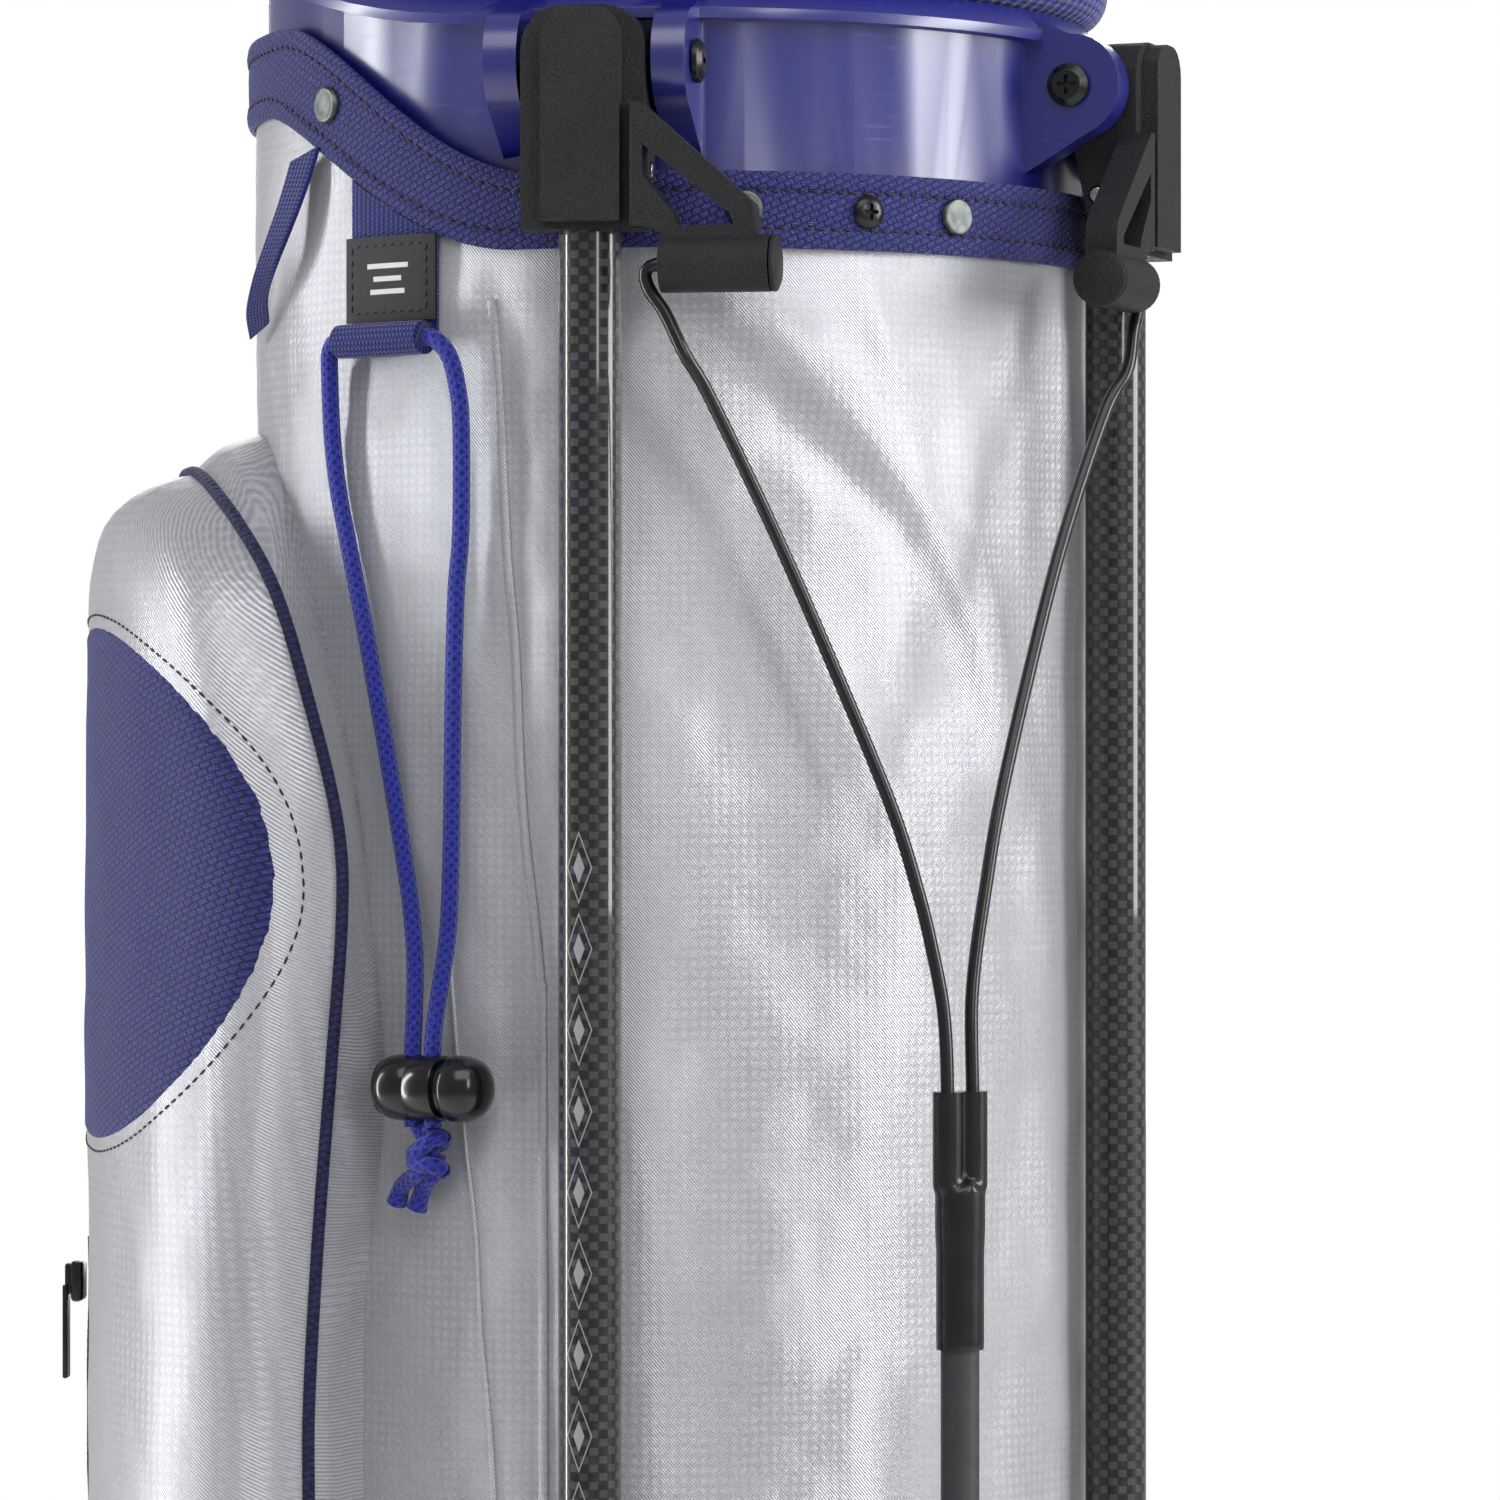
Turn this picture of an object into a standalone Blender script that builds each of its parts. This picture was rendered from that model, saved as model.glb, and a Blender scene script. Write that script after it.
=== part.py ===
"""Golf stand bag: moulded collar, fabric tube, and folding legs worked by a plate, rod and spring wires.

Metres, +Z up. The bag stands on the floor plane with its axis on Z, and its legs face -Y.
An angle round the bag is measured from -Y towards +X.
"""

import math

import bmesh
import bpy
from mathutils import Matrix, Vector

# Clearances
GAP = 0.0003
RUNNING = 0.0003
SWING = 0.0013

# Driving sizes of the bag
BODY_RADIUS = 0.107
BODY_WALL = 0.0025
PIVOT_HEIGHT = 0.830
COLLAR_WALL = 0.003
COLLAR_SKIRT = 0.050
BAND_THICKNESS = 0.0017
BACK_RISE = 0.028
BODY_BOTTOM = 0.045

# Collar
COLLAR_RADIUS = BODY_RADIUS - BODY_WALL - GAP
COLLAR_INSIDE = COLLAR_RADIUS - COLLAR_WALL
COLLAR_TOP = 0.019
LIP_REACH = 0.0048
LIP_BOTTOM = 0.011
LIP_TOP = 0.0135
EAR_THICKNESS = 0.008
EAR_RADIUS = 0.0127
EAR_ROOT_TOP = 0.0176
EAR_ROOT_BOTTOM = -0.0215
EAR_ROOT_DEPTH = 0.0004
CUFF_RADIUS = 0.0095
CUFF_INSET = 0.0052

# Reinforcing band
BAND_INSIDE = BODY_RADIUS + GAP
BAND_RADIUS = BAND_INSIDE + BAND_THICKNESS
BAND_TOP = -0.025
BAND_TOP_RISE = 0.0405
BAND_BOTTOM = -0.0432
BAND_BOTTOM_RISE = 0.038
BODY_UNDER_BAND = 0.004
RIVET_ANGLES = (-80.0, -20.4, 9.0, 80.0)
RIVET_HEAD = 0.0045
RIVET_SHANK = 0.002
FASTENER_HOLE_DEPTH = 0.02
RIVET_DOME = ((0.0, 0.0017), (0.0022, 0.0015), (0.0036, 0.0010))
SCREW_HEAD = ((0.0, 0.0020), (0.0025, 0.0018), (0.0038, 0.0010), (0.0042, -0.0002))
HEAD_SEAT = 0.0002
SCREW_RECESS = (0.0036, 0.0009, 0.003)
SCREW_ANGLE = -4.2

# Legs
LEG_ANGLE = 38.9
LEG_TUBE_RADIUS = 0.0075
LEG_TUBE_WALL = 0.0012
LEG_STANDOFF = 0.0005
LEG_BOTTOM = 0.080
LEG_RADIUS = BAND_RADIUS + LEG_STANDOFF + LEG_TUBE_RADIUS
PIVOT_RADIUS = COLLAR_RADIUS + 0.0088
PIVOT_PIN_RADIUS = 0.0025
PIVOT_HEAD_RADIUS = 0.00525
PIVOT_RECESS = (0.0048, 0.0011, 0.003)
PIVOT_HEAD_THICKNESS = 0.0025
TUBE_OFFSET = LEG_RADIUS - PIVOT_RADIUS
FOOT_RADIUS = 0.0092
FOOT_BOTTOM = 0.052

# Leg bracket, in the leg's own frame: x towards the middle of the bag, y inwards,
# z up from the pivot. Outlines are (x, z).
HEAD_HALF = 0.0147
HEAD_TOP = 0.012
KNUCKLE_RADIUS = 0.0084
BRACKET_BOTTOM = -0.0404
BRACKET_INSIDE = TUBE_OFFSET - LEG_TUBE_RADIUS + 0.0001
BRACKET_DEPTH = 0.014
BOSS_DEPTH = 0.018
SOCKET_TOP = -0.012
RIVET_DROP = -0.026
BARREL_DEPTH = 0.015
BARREL_DROP = -0.049
BARREL_RADIUS = 0.0067
BARREL_BORE = 0.0042
BARREL_START = 0.0192
BARREL_END = 0.045
CAP_THICKNESS = 0.0017
ARM_INSIDE = 0.010
HEAD_CORNER = 0.010
HEAD_SHOULDER = ((-0.004, 0.0115), (-0.008, HEAD_TOP))
BOSS_CORNER = 0.007
BOSS_CORNERS = ((0.0026, 0.0045), (-0.0022, 0.0045))
BOSS_FOOT = ((-0.0092, -0.0388), (0.0096, -0.0388))
BOSS_INSIDE = 0.012
ARM_OUTLINE = (
    (0.0120, -0.0113), (0.0146, -0.0113), (0.0410, -0.0350), (0.0418, -0.0390), (0.0418, -0.0460),
    (0.0196, -0.0460), (0.0194, -0.0415), (0.0140, -0.0400), (0.0120, -0.0400),
)
WINDOW_OUTLINE = (
    (0.0150, -0.0212), (0.0362, -0.0380), (0.0364, -0.0402), (0.0235, -0.0402), (0.0223, -0.0374),
    (0.0150, -0.0280),
)
BARREL_MOUTH = 0.0166
WIRE_PIN_START = (0.0225, 0.0275)

# Leg actuator
WIRE_RADIUS = 0.0016
WIRE_SPACING = 0.00345
WIRE_PIN_END = 0.034
WIRE_END_IN_SLEEVE = 0.010
ROD_RADIUS = 0.00455
ROD_FORWARD = BODY_RADIUS + 0.0305
SLEEVE_TOP = PIVOT_HEIGHT - 0.242
SLEEVE_BOTTOM = SLEEVE_TOP - 0.0604
SLEEVE_NOTCH = SLEEVE_TOP - 0.023
SLEEVE_LOBE = 0.0036
SLEEVE_RADIUS = 0.0059
WIRE_POCKET = 0.0024
WIRE_POCKET_DEPTH = 0.0135

# Base and foot plate
CUP_RADIUS = BODY_RADIUS + 0.0018
CUP_INSERT_HEIGHT = 0.030
CUP_WALL = 0.003
CUP_RIM = 0.009
CUP_FLOOR_UNDERSIDE = 0.020
CUP_NOTCH_ROOF = 0.0022
CUP_NOTCH_HEIGHT = 0.0385
CUP_NOTCH_DEPTH = 0.10
CUP_FLOOR = 0.003
CUP_HUB_RADIUS = 0.030
CUP_CHAMFER = 0.003
PAD_THICKNESS = 0.005
FOOT_HINGE_FORWARD = 0.0475
FOOT_HINGE_HEIGHT = 0.009
FOOT_PIN_RADIUS = 0.0025
FOOT_KNUCKLE_RADIUS = 0.0052
FOOT_LUG_START = 0.040
FOOT_LUG_WIDTH = 0.006
FOOT_PLATE_BOTTOM = 0.0004
FOOT_PLATE_THICKNESS = 0.004
FOOT_PLATE_HALF = 0.050
FOOT_PLATE_REACH = ROD_FORWARD + 0.0125
ROD_PIN_HEIGHT = 0.014
ROD_PIN_RADIUS = 0.002
ROD_EYE_HALF = 0.0047
ROD_EYE_SLOT = 0.0026
FOOT_EAR_WIDTH = 0.004

# Inside the tube
STAY_RADIUS = 0.003
STAY_INSET = 0.0042
DIVIDER_WALL = 0.0028
DIVIDER_DEPTH = 0.028
DIVIDER_BAR = 0.007
DIVIDER_TOP = 0.006

# Soft pieces on the body
POCKET_STANDOFF = 0.0012
POCKET_CENTRE = -106.0
POCKET_HALF = 0.069
POCKET_DEPTH = 0.042
POCKET_BOTTOM = 0.150
POCKET_TOP = PIVOT_HEIGHT - 0.075
POCKET_SHOULDER = 0.165
BALL_CENTRE = 187.0
BALL_HALF = 0.050
BALL_DEPTH = 0.045
BALL_BOTTOM = 0.110
BALL_TOP = 0.330
ACCESSORY_CENTRE = 190.0
ACCESSORY_HALF = 0.044
ACCESSORY_DEPTH = 0.026
ACCESSORY_BOTTOM = PIVOT_HEIGHT - 0.330
ACCESSORY_TOP = PIVOT_HEIGHT - 0.130
HIP_CENTRE = 127.0
HIP_HALF = 0.020
HIP_DEPTH = 0.018
HIP_BOTTOM = PIVOT_HEIGHT - 0.540
HIP_TOP = PIVOT_HEIGHT - 0.370
ZIP_WIDTH = 0.012
ZIP_THICKNESS = 0.0012
SLIDER_SIZE = (0.0065, 0.0035, 0.011)
STRAP_ANGLES = (108.0, 144.0)
STRAP_WIDTH = 0.050
STRAP_PAD_THICKNESS = 0.012
STRAP_PAD_TOP = PIVOT_HEIGHT - 0.095
STRAP_PAD_LENGTH = 0.215
WEBBING_WIDTH = 0.025
WEBBING_THICKNESS = 0.0018
BUCKLE_HEIGHT = 0.030
BUCKLE_HALF = 0.017
STRAP_TAIL_LENGTH = 0.125
HANDLE_RADIUS = 0.008
HANDLE_ANGLE = 24.0
HANDLE_REACH = 0.036

# Towel loop with its drawcord and cord lock
TOWEL_ANGLE = -68.0
TOWEL_WIDTH = 0.027
ROLL_RADIUS = 0.0042
ROLL_DROP = -0.0636
ROLL_STANDOFF = 0.005
LABEL_HEIGHT = 0.0205
LABEL_THICKNESS = 0.001
CORD_RADIUS = 0.0021
LOCK_ANGLE = -57.0
LOCK_STANDOFF = 0.0105
LOCK_DROP = -0.2422
LOCK_RADIUS = 0.0079
LOCK_START = -0.0175
LOCK_MOUTH = 0.0005
LOCK_WALL = 0.0011
LOCK_BOTTOM_WALL = 0.0014
LOCK_CORD_HOLE = CORD_RADIUS + 0.0005
LOCK_CORD_ANGLES = (-61.1, -58.4)
PLUNGER_TRAVEL = 0.0015
PLUNGER_END_WALL = 0.0010
PLUNGER_END = 0.0125
SPRING_RADIUS = 0.0031
SPRING_WIRE = 0.00045

# The drawcord's two branches: angle round the bag, standoff from the body, drop from the leg pivot
DRAWCORD_LEFT = (
    (-75.05, 0.00585, -0.0636), (-76.1, 0.0061, -0.0639), (-77.0, 0.0058, -0.0662), (-77.4, 0.0052, -0.0710),
    (-77.3, 0.0047, -0.0840),
    (-76.8, 0.0045, -0.0928), (-75.9, 0.0044, -0.1014), (-74.2, 0.0044, -0.1126), (-72.5, 0.0044, -0.1242),
    (-70.9, 0.0044, -0.1355), (-69.2, 0.0044, -0.1490), (-67.5, 0.0045, -0.1625), (-66.1, 0.0046, -0.1747),
    (-64.7, 0.0048, -0.1869), (-63.4, 0.0052, -0.1990), (-62.3, 0.0064, -0.2120), (-61.4, 0.0092, -0.2245),
    (-61.1, 0.0107, -0.2325), (-61.1, 0.0107, -0.2422), (-61.1, 0.0107, -0.2515),
)
DRAWCORD_RIGHT = (
    (-60.95, 0.00585, -0.0636), (-59.9, 0.0061, -0.0638), (-58.6, 0.0060, -0.0655), (-57.4, 0.0056, -0.0692),
    (-56.6, 0.0050, -0.0762),
    (-56.2, 0.0047, -0.0855), (-56.3, 0.0045, -0.1097), (-57.0, 0.0044, -0.1247), (-57.4, 0.0044, -0.1490),
    (-57.6, 0.0044, -0.1746), (-57.7, 0.0046, -0.1898), (-57.9, 0.0052, -0.2048), (-58.1, 0.0074, -0.2160),
    (-58.3, 0.0096, -0.2255), (-58.4, 0.0105, -0.2325), (-58.4, 0.0105, -0.2422), (-58.4, 0.0105, -0.2515),
)
# A second webbing loop, under the band on the left: same measures
SIDE_LOOP = (
    (-84.5, 0.0030, -0.0170), (-85.5, 0.0050, -0.0260), (-87.5, 0.0070, -0.0360), (-91.0, 0.0075, -0.0450),
    (-95.5, 0.0060, -0.0520), (-99.5, 0.0030, -0.0580),
)
# The wire's shape between the sleeve and the barrel: share of the rise, of the sideways way and
# of the inward way
WIRE_SHAPE = (
    (0.00, 0.000, 0.00), (0.06, 0.001, 0.02), (0.111, 0.010, 0.05), (0.170, 0.040, 0.09), (0.236, 0.085, 0.13),
    (0.340, 0.172, 0.23), (0.492, 0.342, 0.42), (0.674, 0.564, 0.64), (0.839, 0.800, 0.80),
)
# The hook at the wire's top, in the leg's frame: x, drop from the pivot
WIRE_HOOK = (
    (0.0246, -0.0700), (0.0200, -0.0605), (0.0164, -0.0552), (0.0152, -0.0512), (0.0172, -0.0492),
)

# Finishes: colour, roughness, metallic
FINISHES = {
    "collar_plastic": ((0.035, 0.055, 0.42), 0.32, 0.0),
    "navy_fabric": ((0.012, 0.014, 0.10), 0.80, 0.0),
    "silver_fabric": ((0.62, 0.63, 0.66), 0.42, 0.0),
    "cuff_knit": ((0.02, 0.03, 0.30), 0.85, 0.0),
    "webbing_blue": ((0.02, 0.03, 0.36), 0.75, 0.0),
    "black_plastic": ((0.018, 0.018, 0.020), 0.55, 0.0),
    "gloss_black": ((0.008, 0.008, 0.009), 0.18, 0.0),
    "carbon": ((0.020, 0.020, 0.022), 0.15, 0.0),
    "coated_steel": ((0.012, 0.012, 0.013), 0.35, 0.0),
    "steel": ((0.45, 0.45, 0.46), 0.30, 1.0),
    "rubber": ((0.02, 0.02, 0.02), 0.85, 0.0),
    "black_webbing": ((0.015, 0.015, 0.017), 0.85, 0.0),
    "foam": ((0.03, 0.03, 0.035), 0.90, 0.0),
}

for old in list(bpy.data.objects):
    bpy.data.objects.remove(old, do_unlink=True)

PARTS = bpy.data.collections.new("golf_stand_bag")
CUTTERS = bpy.data.collections.new("cutters")
bpy.context.scene.collection.children.link(PARTS)
bpy.context.scene.collection.children.link(CUTTERS)


# ---------------------------------------------------------------- objects and materials
def finish_material(slot, node):
    """A material of one of the finishes, for one node."""
    colour, roughness, metallic = FINISHES[slot]
    material = bpy.data.materials.new(f"{node}_{slot}")
    material.use_nodes = True
    shader = material.node_tree.nodes["Principled BSDF"]
    shader.inputs["Base Color"].default_value = (*colour, 1.0)
    shader.inputs["Roughness"].default_value = roughness
    shader.inputs["Metallic"].default_value = metallic
    return material


def empty(name, location, turn=0.0):
    """An empty on a joint's axis or in a piece's frame, turned about Z."""
    obj = bpy.data.objects.new(name, None)
    obj.location = location
    obj.rotation_euler = (0.0, 0.0, turn)
    PARTS.objects.link(obj)
    return obj


def add(name, slot, bm, parent=None, at=(0.0, 0.0, 0.0), turn=(0.0, 0.0, 0.0), smooth=True):
    """The node called name, from a bmesh."""
    mesh = bpy.data.meshes.new(name)
    bmesh.ops.recalc_face_normals(bm, faces=bm.faces[:])
    bm.to_mesh(mesh)
    bm.free()
    if smooth:
        mesh.shade_smooth()
        mesh.set_sharp_from_angle(angle=math.radians(35))
    obj = bpy.data.objects.new(name, mesh)
    obj.data.materials.append(finish_material(slot, name))
    PARTS.objects.link(obj)
    obj.parent = parent
    obj.location = at
    obj.rotation_euler = turn
    return obj


def tool(name, bm, parent=None, at=(0.0, 0.0, 0.0), turn=(0.0, 0.0, 0.0)):
    """A hidden shape that a Boolean cuts with or joins on."""
    mesh = bpy.data.meshes.new(name)
    bmesh.ops.recalc_face_normals(bm, faces=bm.faces[:])
    bm.to_mesh(mesh)
    bm.free()
    obj = bpy.data.objects.new(name, mesh)
    obj.hide_render = True
    obj.display_type = "WIRE"
    CUTTERS.objects.link(obj)
    obj.parent = parent
    obj.location = at
    obj.rotation_euler = turn
    return obj


def boolean(obj, operand, operation):
    """Adds one Boolean modifier."""
    modifier = obj.modifiers.new(f"{operation.lower()}_{operand.name}"[:60], "BOOLEAN")
    modifier.operation = operation
    modifier.object = operand
    modifier.solver = "EXACT"


def cut(obj, *operands):
    """Cuts each operand from the object."""
    for operand in operands:
        boolean(obj, operand, "DIFFERENCE")


def join(obj, *operands):
    """Joins each operand to the object."""
    for operand in operands:
        boolean(obj, operand, "UNION")


# ---------------------------------------------------------------- shapes
def turned(profile, steps=32, ring=False):
    """A shape turned about Z from points (radius, height). A ring's profile closes on itself."""
    bm = bmesh.new()
    verts = [bm.verts.new((radius, 0.0, height)) for radius, height in profile]
    edges = [bm.edges.new(pair) for pair in zip(verts, verts[1:])]
    if ring:
        edges.append(bm.edges.new((verts[-1], verts[0])))
    bmesh.ops.spin(
        bm, geom=verts + edges, cent=(0, 0, 0), axis=(0, 0, 1), angle=math.tau, steps=steps, use_merge=True
    )
    bmesh.ops.remove_doubles(bm, verts=bm.verts[:], dist=0.00001)
    return bm


def prism(outline, low, high, axis="Y"):
    """A flat outline pushed from low to high along an axis. Y: points are (x, z). X: points are (y, z)."""
    bm = bmesh.new()
    places = {"Y": lambda a, b: (a, low, b), "X": lambda a, b: (low, a, b), "Z": lambda a, b: (a, b, low)}
    place = places[axis]
    push = {"Y": (0, high - low, 0), "X": (high - low, 0, 0), "Z": (0, 0, high - low)}[axis]
    verts = [bm.verts.new(place(a, b)) for a, b in outline]
    edges = [bm.edges.new((verts[i - 1], verts[i])) for i in range(len(verts))]
    face = bmesh.ops.edgeloop_fill(bm, edges=edges)["faces"][0]
    grown = bmesh.ops.extrude_face_region(bm, geom=[face], use_keep_orig=True)["geom"]
    bmesh.ops.translate(bm, vec=push, verts=[g for g in grown if isinstance(g, bmesh.types.BMVert)])
    return bm


def block(size, at):
    """A box of a size, centred at a place."""
    bm = bmesh.new()
    bmesh.ops.create_cube(bm, size=1.0, matrix=Matrix.Translation(at) @ Matrix.Diagonal((*size, 1.0)))
    return bm


def cylinder(radius, start, end, axis="Z", at=(0.0, 0.0), segments=24, bm=None):
    """A cylinder along an axis from start to end; at gives its place on the other two axes."""
    bm = bm or bmesh.new()
    middle = (start + end) / 2
    turn = {"X": Matrix.Rotation(math.pi / 2, 4, "Y"), "Y": Matrix.Rotation(math.pi / 2, 4, "X")}
    place = {"X": (middle, *at), "Y": (at[0], middle, at[1]), "Z": (*at, middle)}[axis]
    bmesh.ops.create_cone(
        bm, cap_ends=True, segments=segments, radius1=radius, radius2=radius, depth=abs(end - start),
        matrix=Matrix.Translation(place) @ turn.get(axis, Matrix.Identity(4)),
    )
    return bm


def arc(centre, radius, start, end, count):
    """Points on an arc, angles in degrees."""
    step = (end - start) / count
    angles = [math.radians(start + step * i) for i in range(count + 1)]
    return [(centre[0] + radius * math.cos(a), centre[1] + radius * math.sin(a)) for a in angles]


def smooth_step(value):
    """0 below 0, 1 above 1, and a smooth rise between."""
    value = min(max(value, 0.0), 1.0)
    return value * value * (3.0 - 2.0 * value)


def angle_of(point):
    """The angle round the bag of a point, in degrees."""
    return math.degrees(math.atan2(point[0], -point[1]))


def around(angle, radius, height):
    """The point at an angle round the bag."""
    a = math.radians(angle)
    return Vector((radius * math.sin(a), -radius * math.cos(a), height))


def smooth_route(points, spacing):
    """Points read at an even spacing from a smooth curve through the route's points."""
    ends = [2 * points[0] - points[1], *points, 2 * points[-1] - points[-2]]
    fine = []
    for before, start, end, after in zip(ends, ends[1:], ends[2:], ends[3:]):
        for i in range(12):
            t = i / 12
            fine.append(
                0.5 * (
                    2 * start + (end - before) * t + (2 * before - 5 * start + 4 * end - after) * t**2
                    + (3 * start - before - 3 * end + after) * t**3
                )
            )
    fine.append(points[-1])
    walked = [0.0]
    for a, b in zip(fine, fine[1:]):
        walked.append(walked[-1] + (b - a).length)
    count = max(2, round(walked[-1] / spacing))
    route, at = [], 0
    for i in range(count + 1):
        want = walked[-1] * i / count
        while at < len(fine) - 2 and walked[at + 1] < want:
            at += 1
        route.append(fine[at].lerp(fine[at + 1], (want - walked[at]) / (walked[at + 1] - walked[at])))
    return route


def tube(name, slot, route, radius, resolution=2, parent=None):
    """A filled round tube along a route."""
    curve = bpy.data.curves.new(name, "CURVE")
    curve.dimensions = "3D"
    curve.bevel_depth = radius
    curve.bevel_resolution = resolution
    curve.use_fill_caps = True
    spline = curve.splines.new("POLY")
    spline.points.add(len(route) - 1)
    for point, place in zip(spline.points, route):
        point.co = (*place, 1.0)
    obj = bpy.data.objects.new(name, curve)
    obj.data.materials.append(finish_material(slot, name))
    PARTS.objects.link(obj)
    obj.parent = parent
    return obj


def ribbon(name, slot, route, sides, width, thickness):
    """A flat strap along a route; sides gives its width direction at each point."""
    bm = bmesh.new()
    bmesh.ops.create_grid(bm, x_segments=1, y_segments=len(route) - 1, size=0.5)
    for vert in bm.verts:
        i = round((vert.co.y + 0.5) * (len(route) - 1))
        vert.co = route[i] + sides[i] * math.copysign(width / 2, vert.co.x)
    obj = add(name, slot, bm)
    wall = obj.modifiers.new("thickness", "SOLIDIFY")
    wall.thickness = thickness
    wall.offset = 0.0
    return obj


def pad(name, slot, shape, across, along):
    """A closed pad on the body: shape(u, v, outer) gives a point, u and v run from -1 to 1."""
    bm = bmesh.new()
    bmesh.ops.create_grid(bm, x_segments=across, y_segments=along, size=1.0)
    inner = set(bm.verts)
    bmesh.ops.extrude_face_region(bm, geom=bm.faces[:], use_keep_orig=True)
    for vert in bm.verts:
        vert.co = shape(vert.co.x, vert.co.y, vert not in inner)
    return add(name, slot, bm)


# ---------------------------------------------------------------- heights round the mouth
def lip_rise(angle):
    return BACK_RISE * smooth_step((abs(angle) - 55.0) / 75.0)


def band_top(angle):
    return PIVOT_HEIGHT + BAND_TOP + BAND_TOP_RISE * smooth_step((abs(angle) - 47.0) / 46.0)


def band_bottom(angle):
    return PIVOT_HEIGHT + BAND_BOTTOM + BAND_BOTTOM_RISE * smooth_step((abs(angle) - 50.0) / 50.0)


def divider_rise(y):
    return BACK_RISE / 2 * (1.0 + y / COLLAR_INSIDE)


def rise_mouth(bm, above):
    """Lifts a turned shape's upper points along the rising lip."""
    for vert in bm.verts:
        if vert.co.z > above:
            vert.co.z += lip_rise(angle_of(vert.co))
    return bm


# ---------------------------------------------------------------- legs' frames
LEGS = {}
for leg_side, leg_name, leg_angle in ((1, "left", -LEG_ANGLE), (-1, "right", LEG_ANGLE)):
    axis_at = around(leg_angle, PIVOT_RADIUS, PIVOT_HEIGHT)
    LEGS[leg_name] = (leg_side, empty(f"leg_{leg_name}_axis", axis_at, math.radians(leg_angle)))


def mirrored(bm, side):
    """The same shape for the leg on the other side."""
    bmesh.ops.scale(bm, vec=(side, 1, 1), verts=bm.verts[:])
    return bm


# ---------------------------------------------------------------- mouth: collar, divider, cuff, band
def fastener_places():
    """Angle and height of each fastener in the band."""
    places = [(angle, (band_top(angle) + band_bottom(angle)) / 2) for angle in RIVET_ANGLES]
    places.append((SCREW_ANGLE, (band_top(SCREW_ANGLE) + band_bottom(SCREW_ANGLE)) / 2))
    return places


def fastener_holes():
    """One tool with a hole for every fastener, through band, fabric and collar."""
    bm = bmesh.new()
    for angle, height in fastener_places():
        a = math.radians(angle)
        outwards = Matrix.Translation((0, 0, height)) @ Matrix.Rotation(a, 4, "Z")
        at_wall = Matrix.Translation((0, -COLLAR_RADIUS, 0)) @ Matrix.Rotation(math.pi / 2, 4, "X")
        radius = RIVET_SHANK + RUNNING
        bmesh.ops.create_cone(
            bm, cap_ends=True, segments=12, radius1=radius, radius2=radius, depth=FASTENER_HOLE_DEPTH,
            matrix=outwards @ at_wall,
        )
    return tool("fastener_holes", bm)


def make_collar(holes):
    """Moulded collar: turned wall with lip and shoulder, and two ears for each leg."""
    top, lip_low, lip_high = (PIVOT_HEIGHT + drop for drop in (COLLAR_TOP, LIP_BOTTOM, LIP_TOP))
    bottom = PIVOT_HEIGHT - COLLAR_SKIRT
    profile = [
        (COLLAR_RADIUS, top), (COLLAR_RADIUS + LIP_REACH, lip_high), (COLLAR_RADIUS + LIP_REACH, lip_low),
        (COLLAR_RADIUS, lip_low), (COLLAR_RADIUS, bottom), (COLLAR_INSIDE, bottom), (COLLAR_INSIDE, top),
    ]
    collar = add("collar", "collar_plastic", rise_mouth(turned(profile, 72, ring=True), PIVOT_HEIGHT))
    root = PIVOT_RADIUS - COLLAR_INSIDE + EAR_ROOT_DEPTH
    for name, (side, axis) in LEGS.items():
        inner_face = HEAD_HALF + SWING
        for which, start in (("inner", inner_face), ("outer", -inner_face - EAR_THICKNESS)):
            outline = [(root, EAR_ROOT_BOTTOM)]
            outline += arc((0.0, 0.0), EAR_RADIUS, 250.0, 90.0, 12)
            outline += [(root, EAR_ROOT_TOP)]
            shape = mirrored(prism(outline, start, start + EAR_THICKNESS, "X"), side)
            join(collar, tool(f"ear_{name}_{which}", shape, axis))
        reach = HEAD_HALF + SWING + EAR_THICKNESS + 0.002
        bore = cylinder(PIVOT_PIN_RADIUS + RUNNING, -reach, reach, "X")
        cut(collar, tool(f"ear_bore_{name}", bore, axis))
    cut(collar, holes)
    return collar


def make_divider():
    """Four-way club divider: a ring that sits in the collar, with two crossed bars."""
    outside = COLLAR_INSIDE - 0.0004
    high = PIVOT_HEIGHT + DIVIDER_TOP
    low = high - DIVIDER_DEPTH
    ring = [(outside, high), (outside, low), (outside - DIVIDER_WALL, low), (outside - DIVIDER_WALL, high)]
    bm = turned(ring, 64, ring=True)
    for vert in bm.verts:
        vert.co.z += divider_rise(vert.co.y)
    divider = add("divider_frame", "gloss_black", bm)
    span = 2 * (outside - DIVIDER_WALL / 2)
    for name, size in (("long", (DIVIDER_BAR, span, 0.024)), ("cross", (span, DIVIDER_BAR, 0.024))):
        bar = block(size, (0, 0, (high + low) / 2))
        for vert in bar.verts:
            vert.co.z += divider_rise(vert.co.y)
        join(divider, tool(f"divider_bar_{name}", bar))


def make_cuff():
    """Padded roll round the mouth."""
    centre = COLLAR_RADIUS - CUFF_INSET
    height = PIVOT_HEIGHT + COLLAR_TOP + GAP + CUFF_RADIUS
    profile = [(centre + CUFF_RADIUS * math.sin(t), height + CUFF_RADIUS * math.cos(t))
               for t in (math.tau * i / 8 for i in range(8))]
    add("cuff_roll", "cuff_knit", rise_mouth(turned(profile, 48, ring=True), PIVOT_HEIGHT))


def band_shape(outside, inside, top, bottom, steps=72):
    """A turned ring whose edges follow heights given by angle."""
    bm = turned([(outside, 1.0), (outside, 0.0), (inside, 0.0), (inside, 1.0)], steps, ring=True)
    for vert in bm.verts:
        angle = angle_of(vert.co)
        vert.co.z = top(angle) if vert.co.z > 0.5 else bottom(angle)
    return bm


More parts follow.
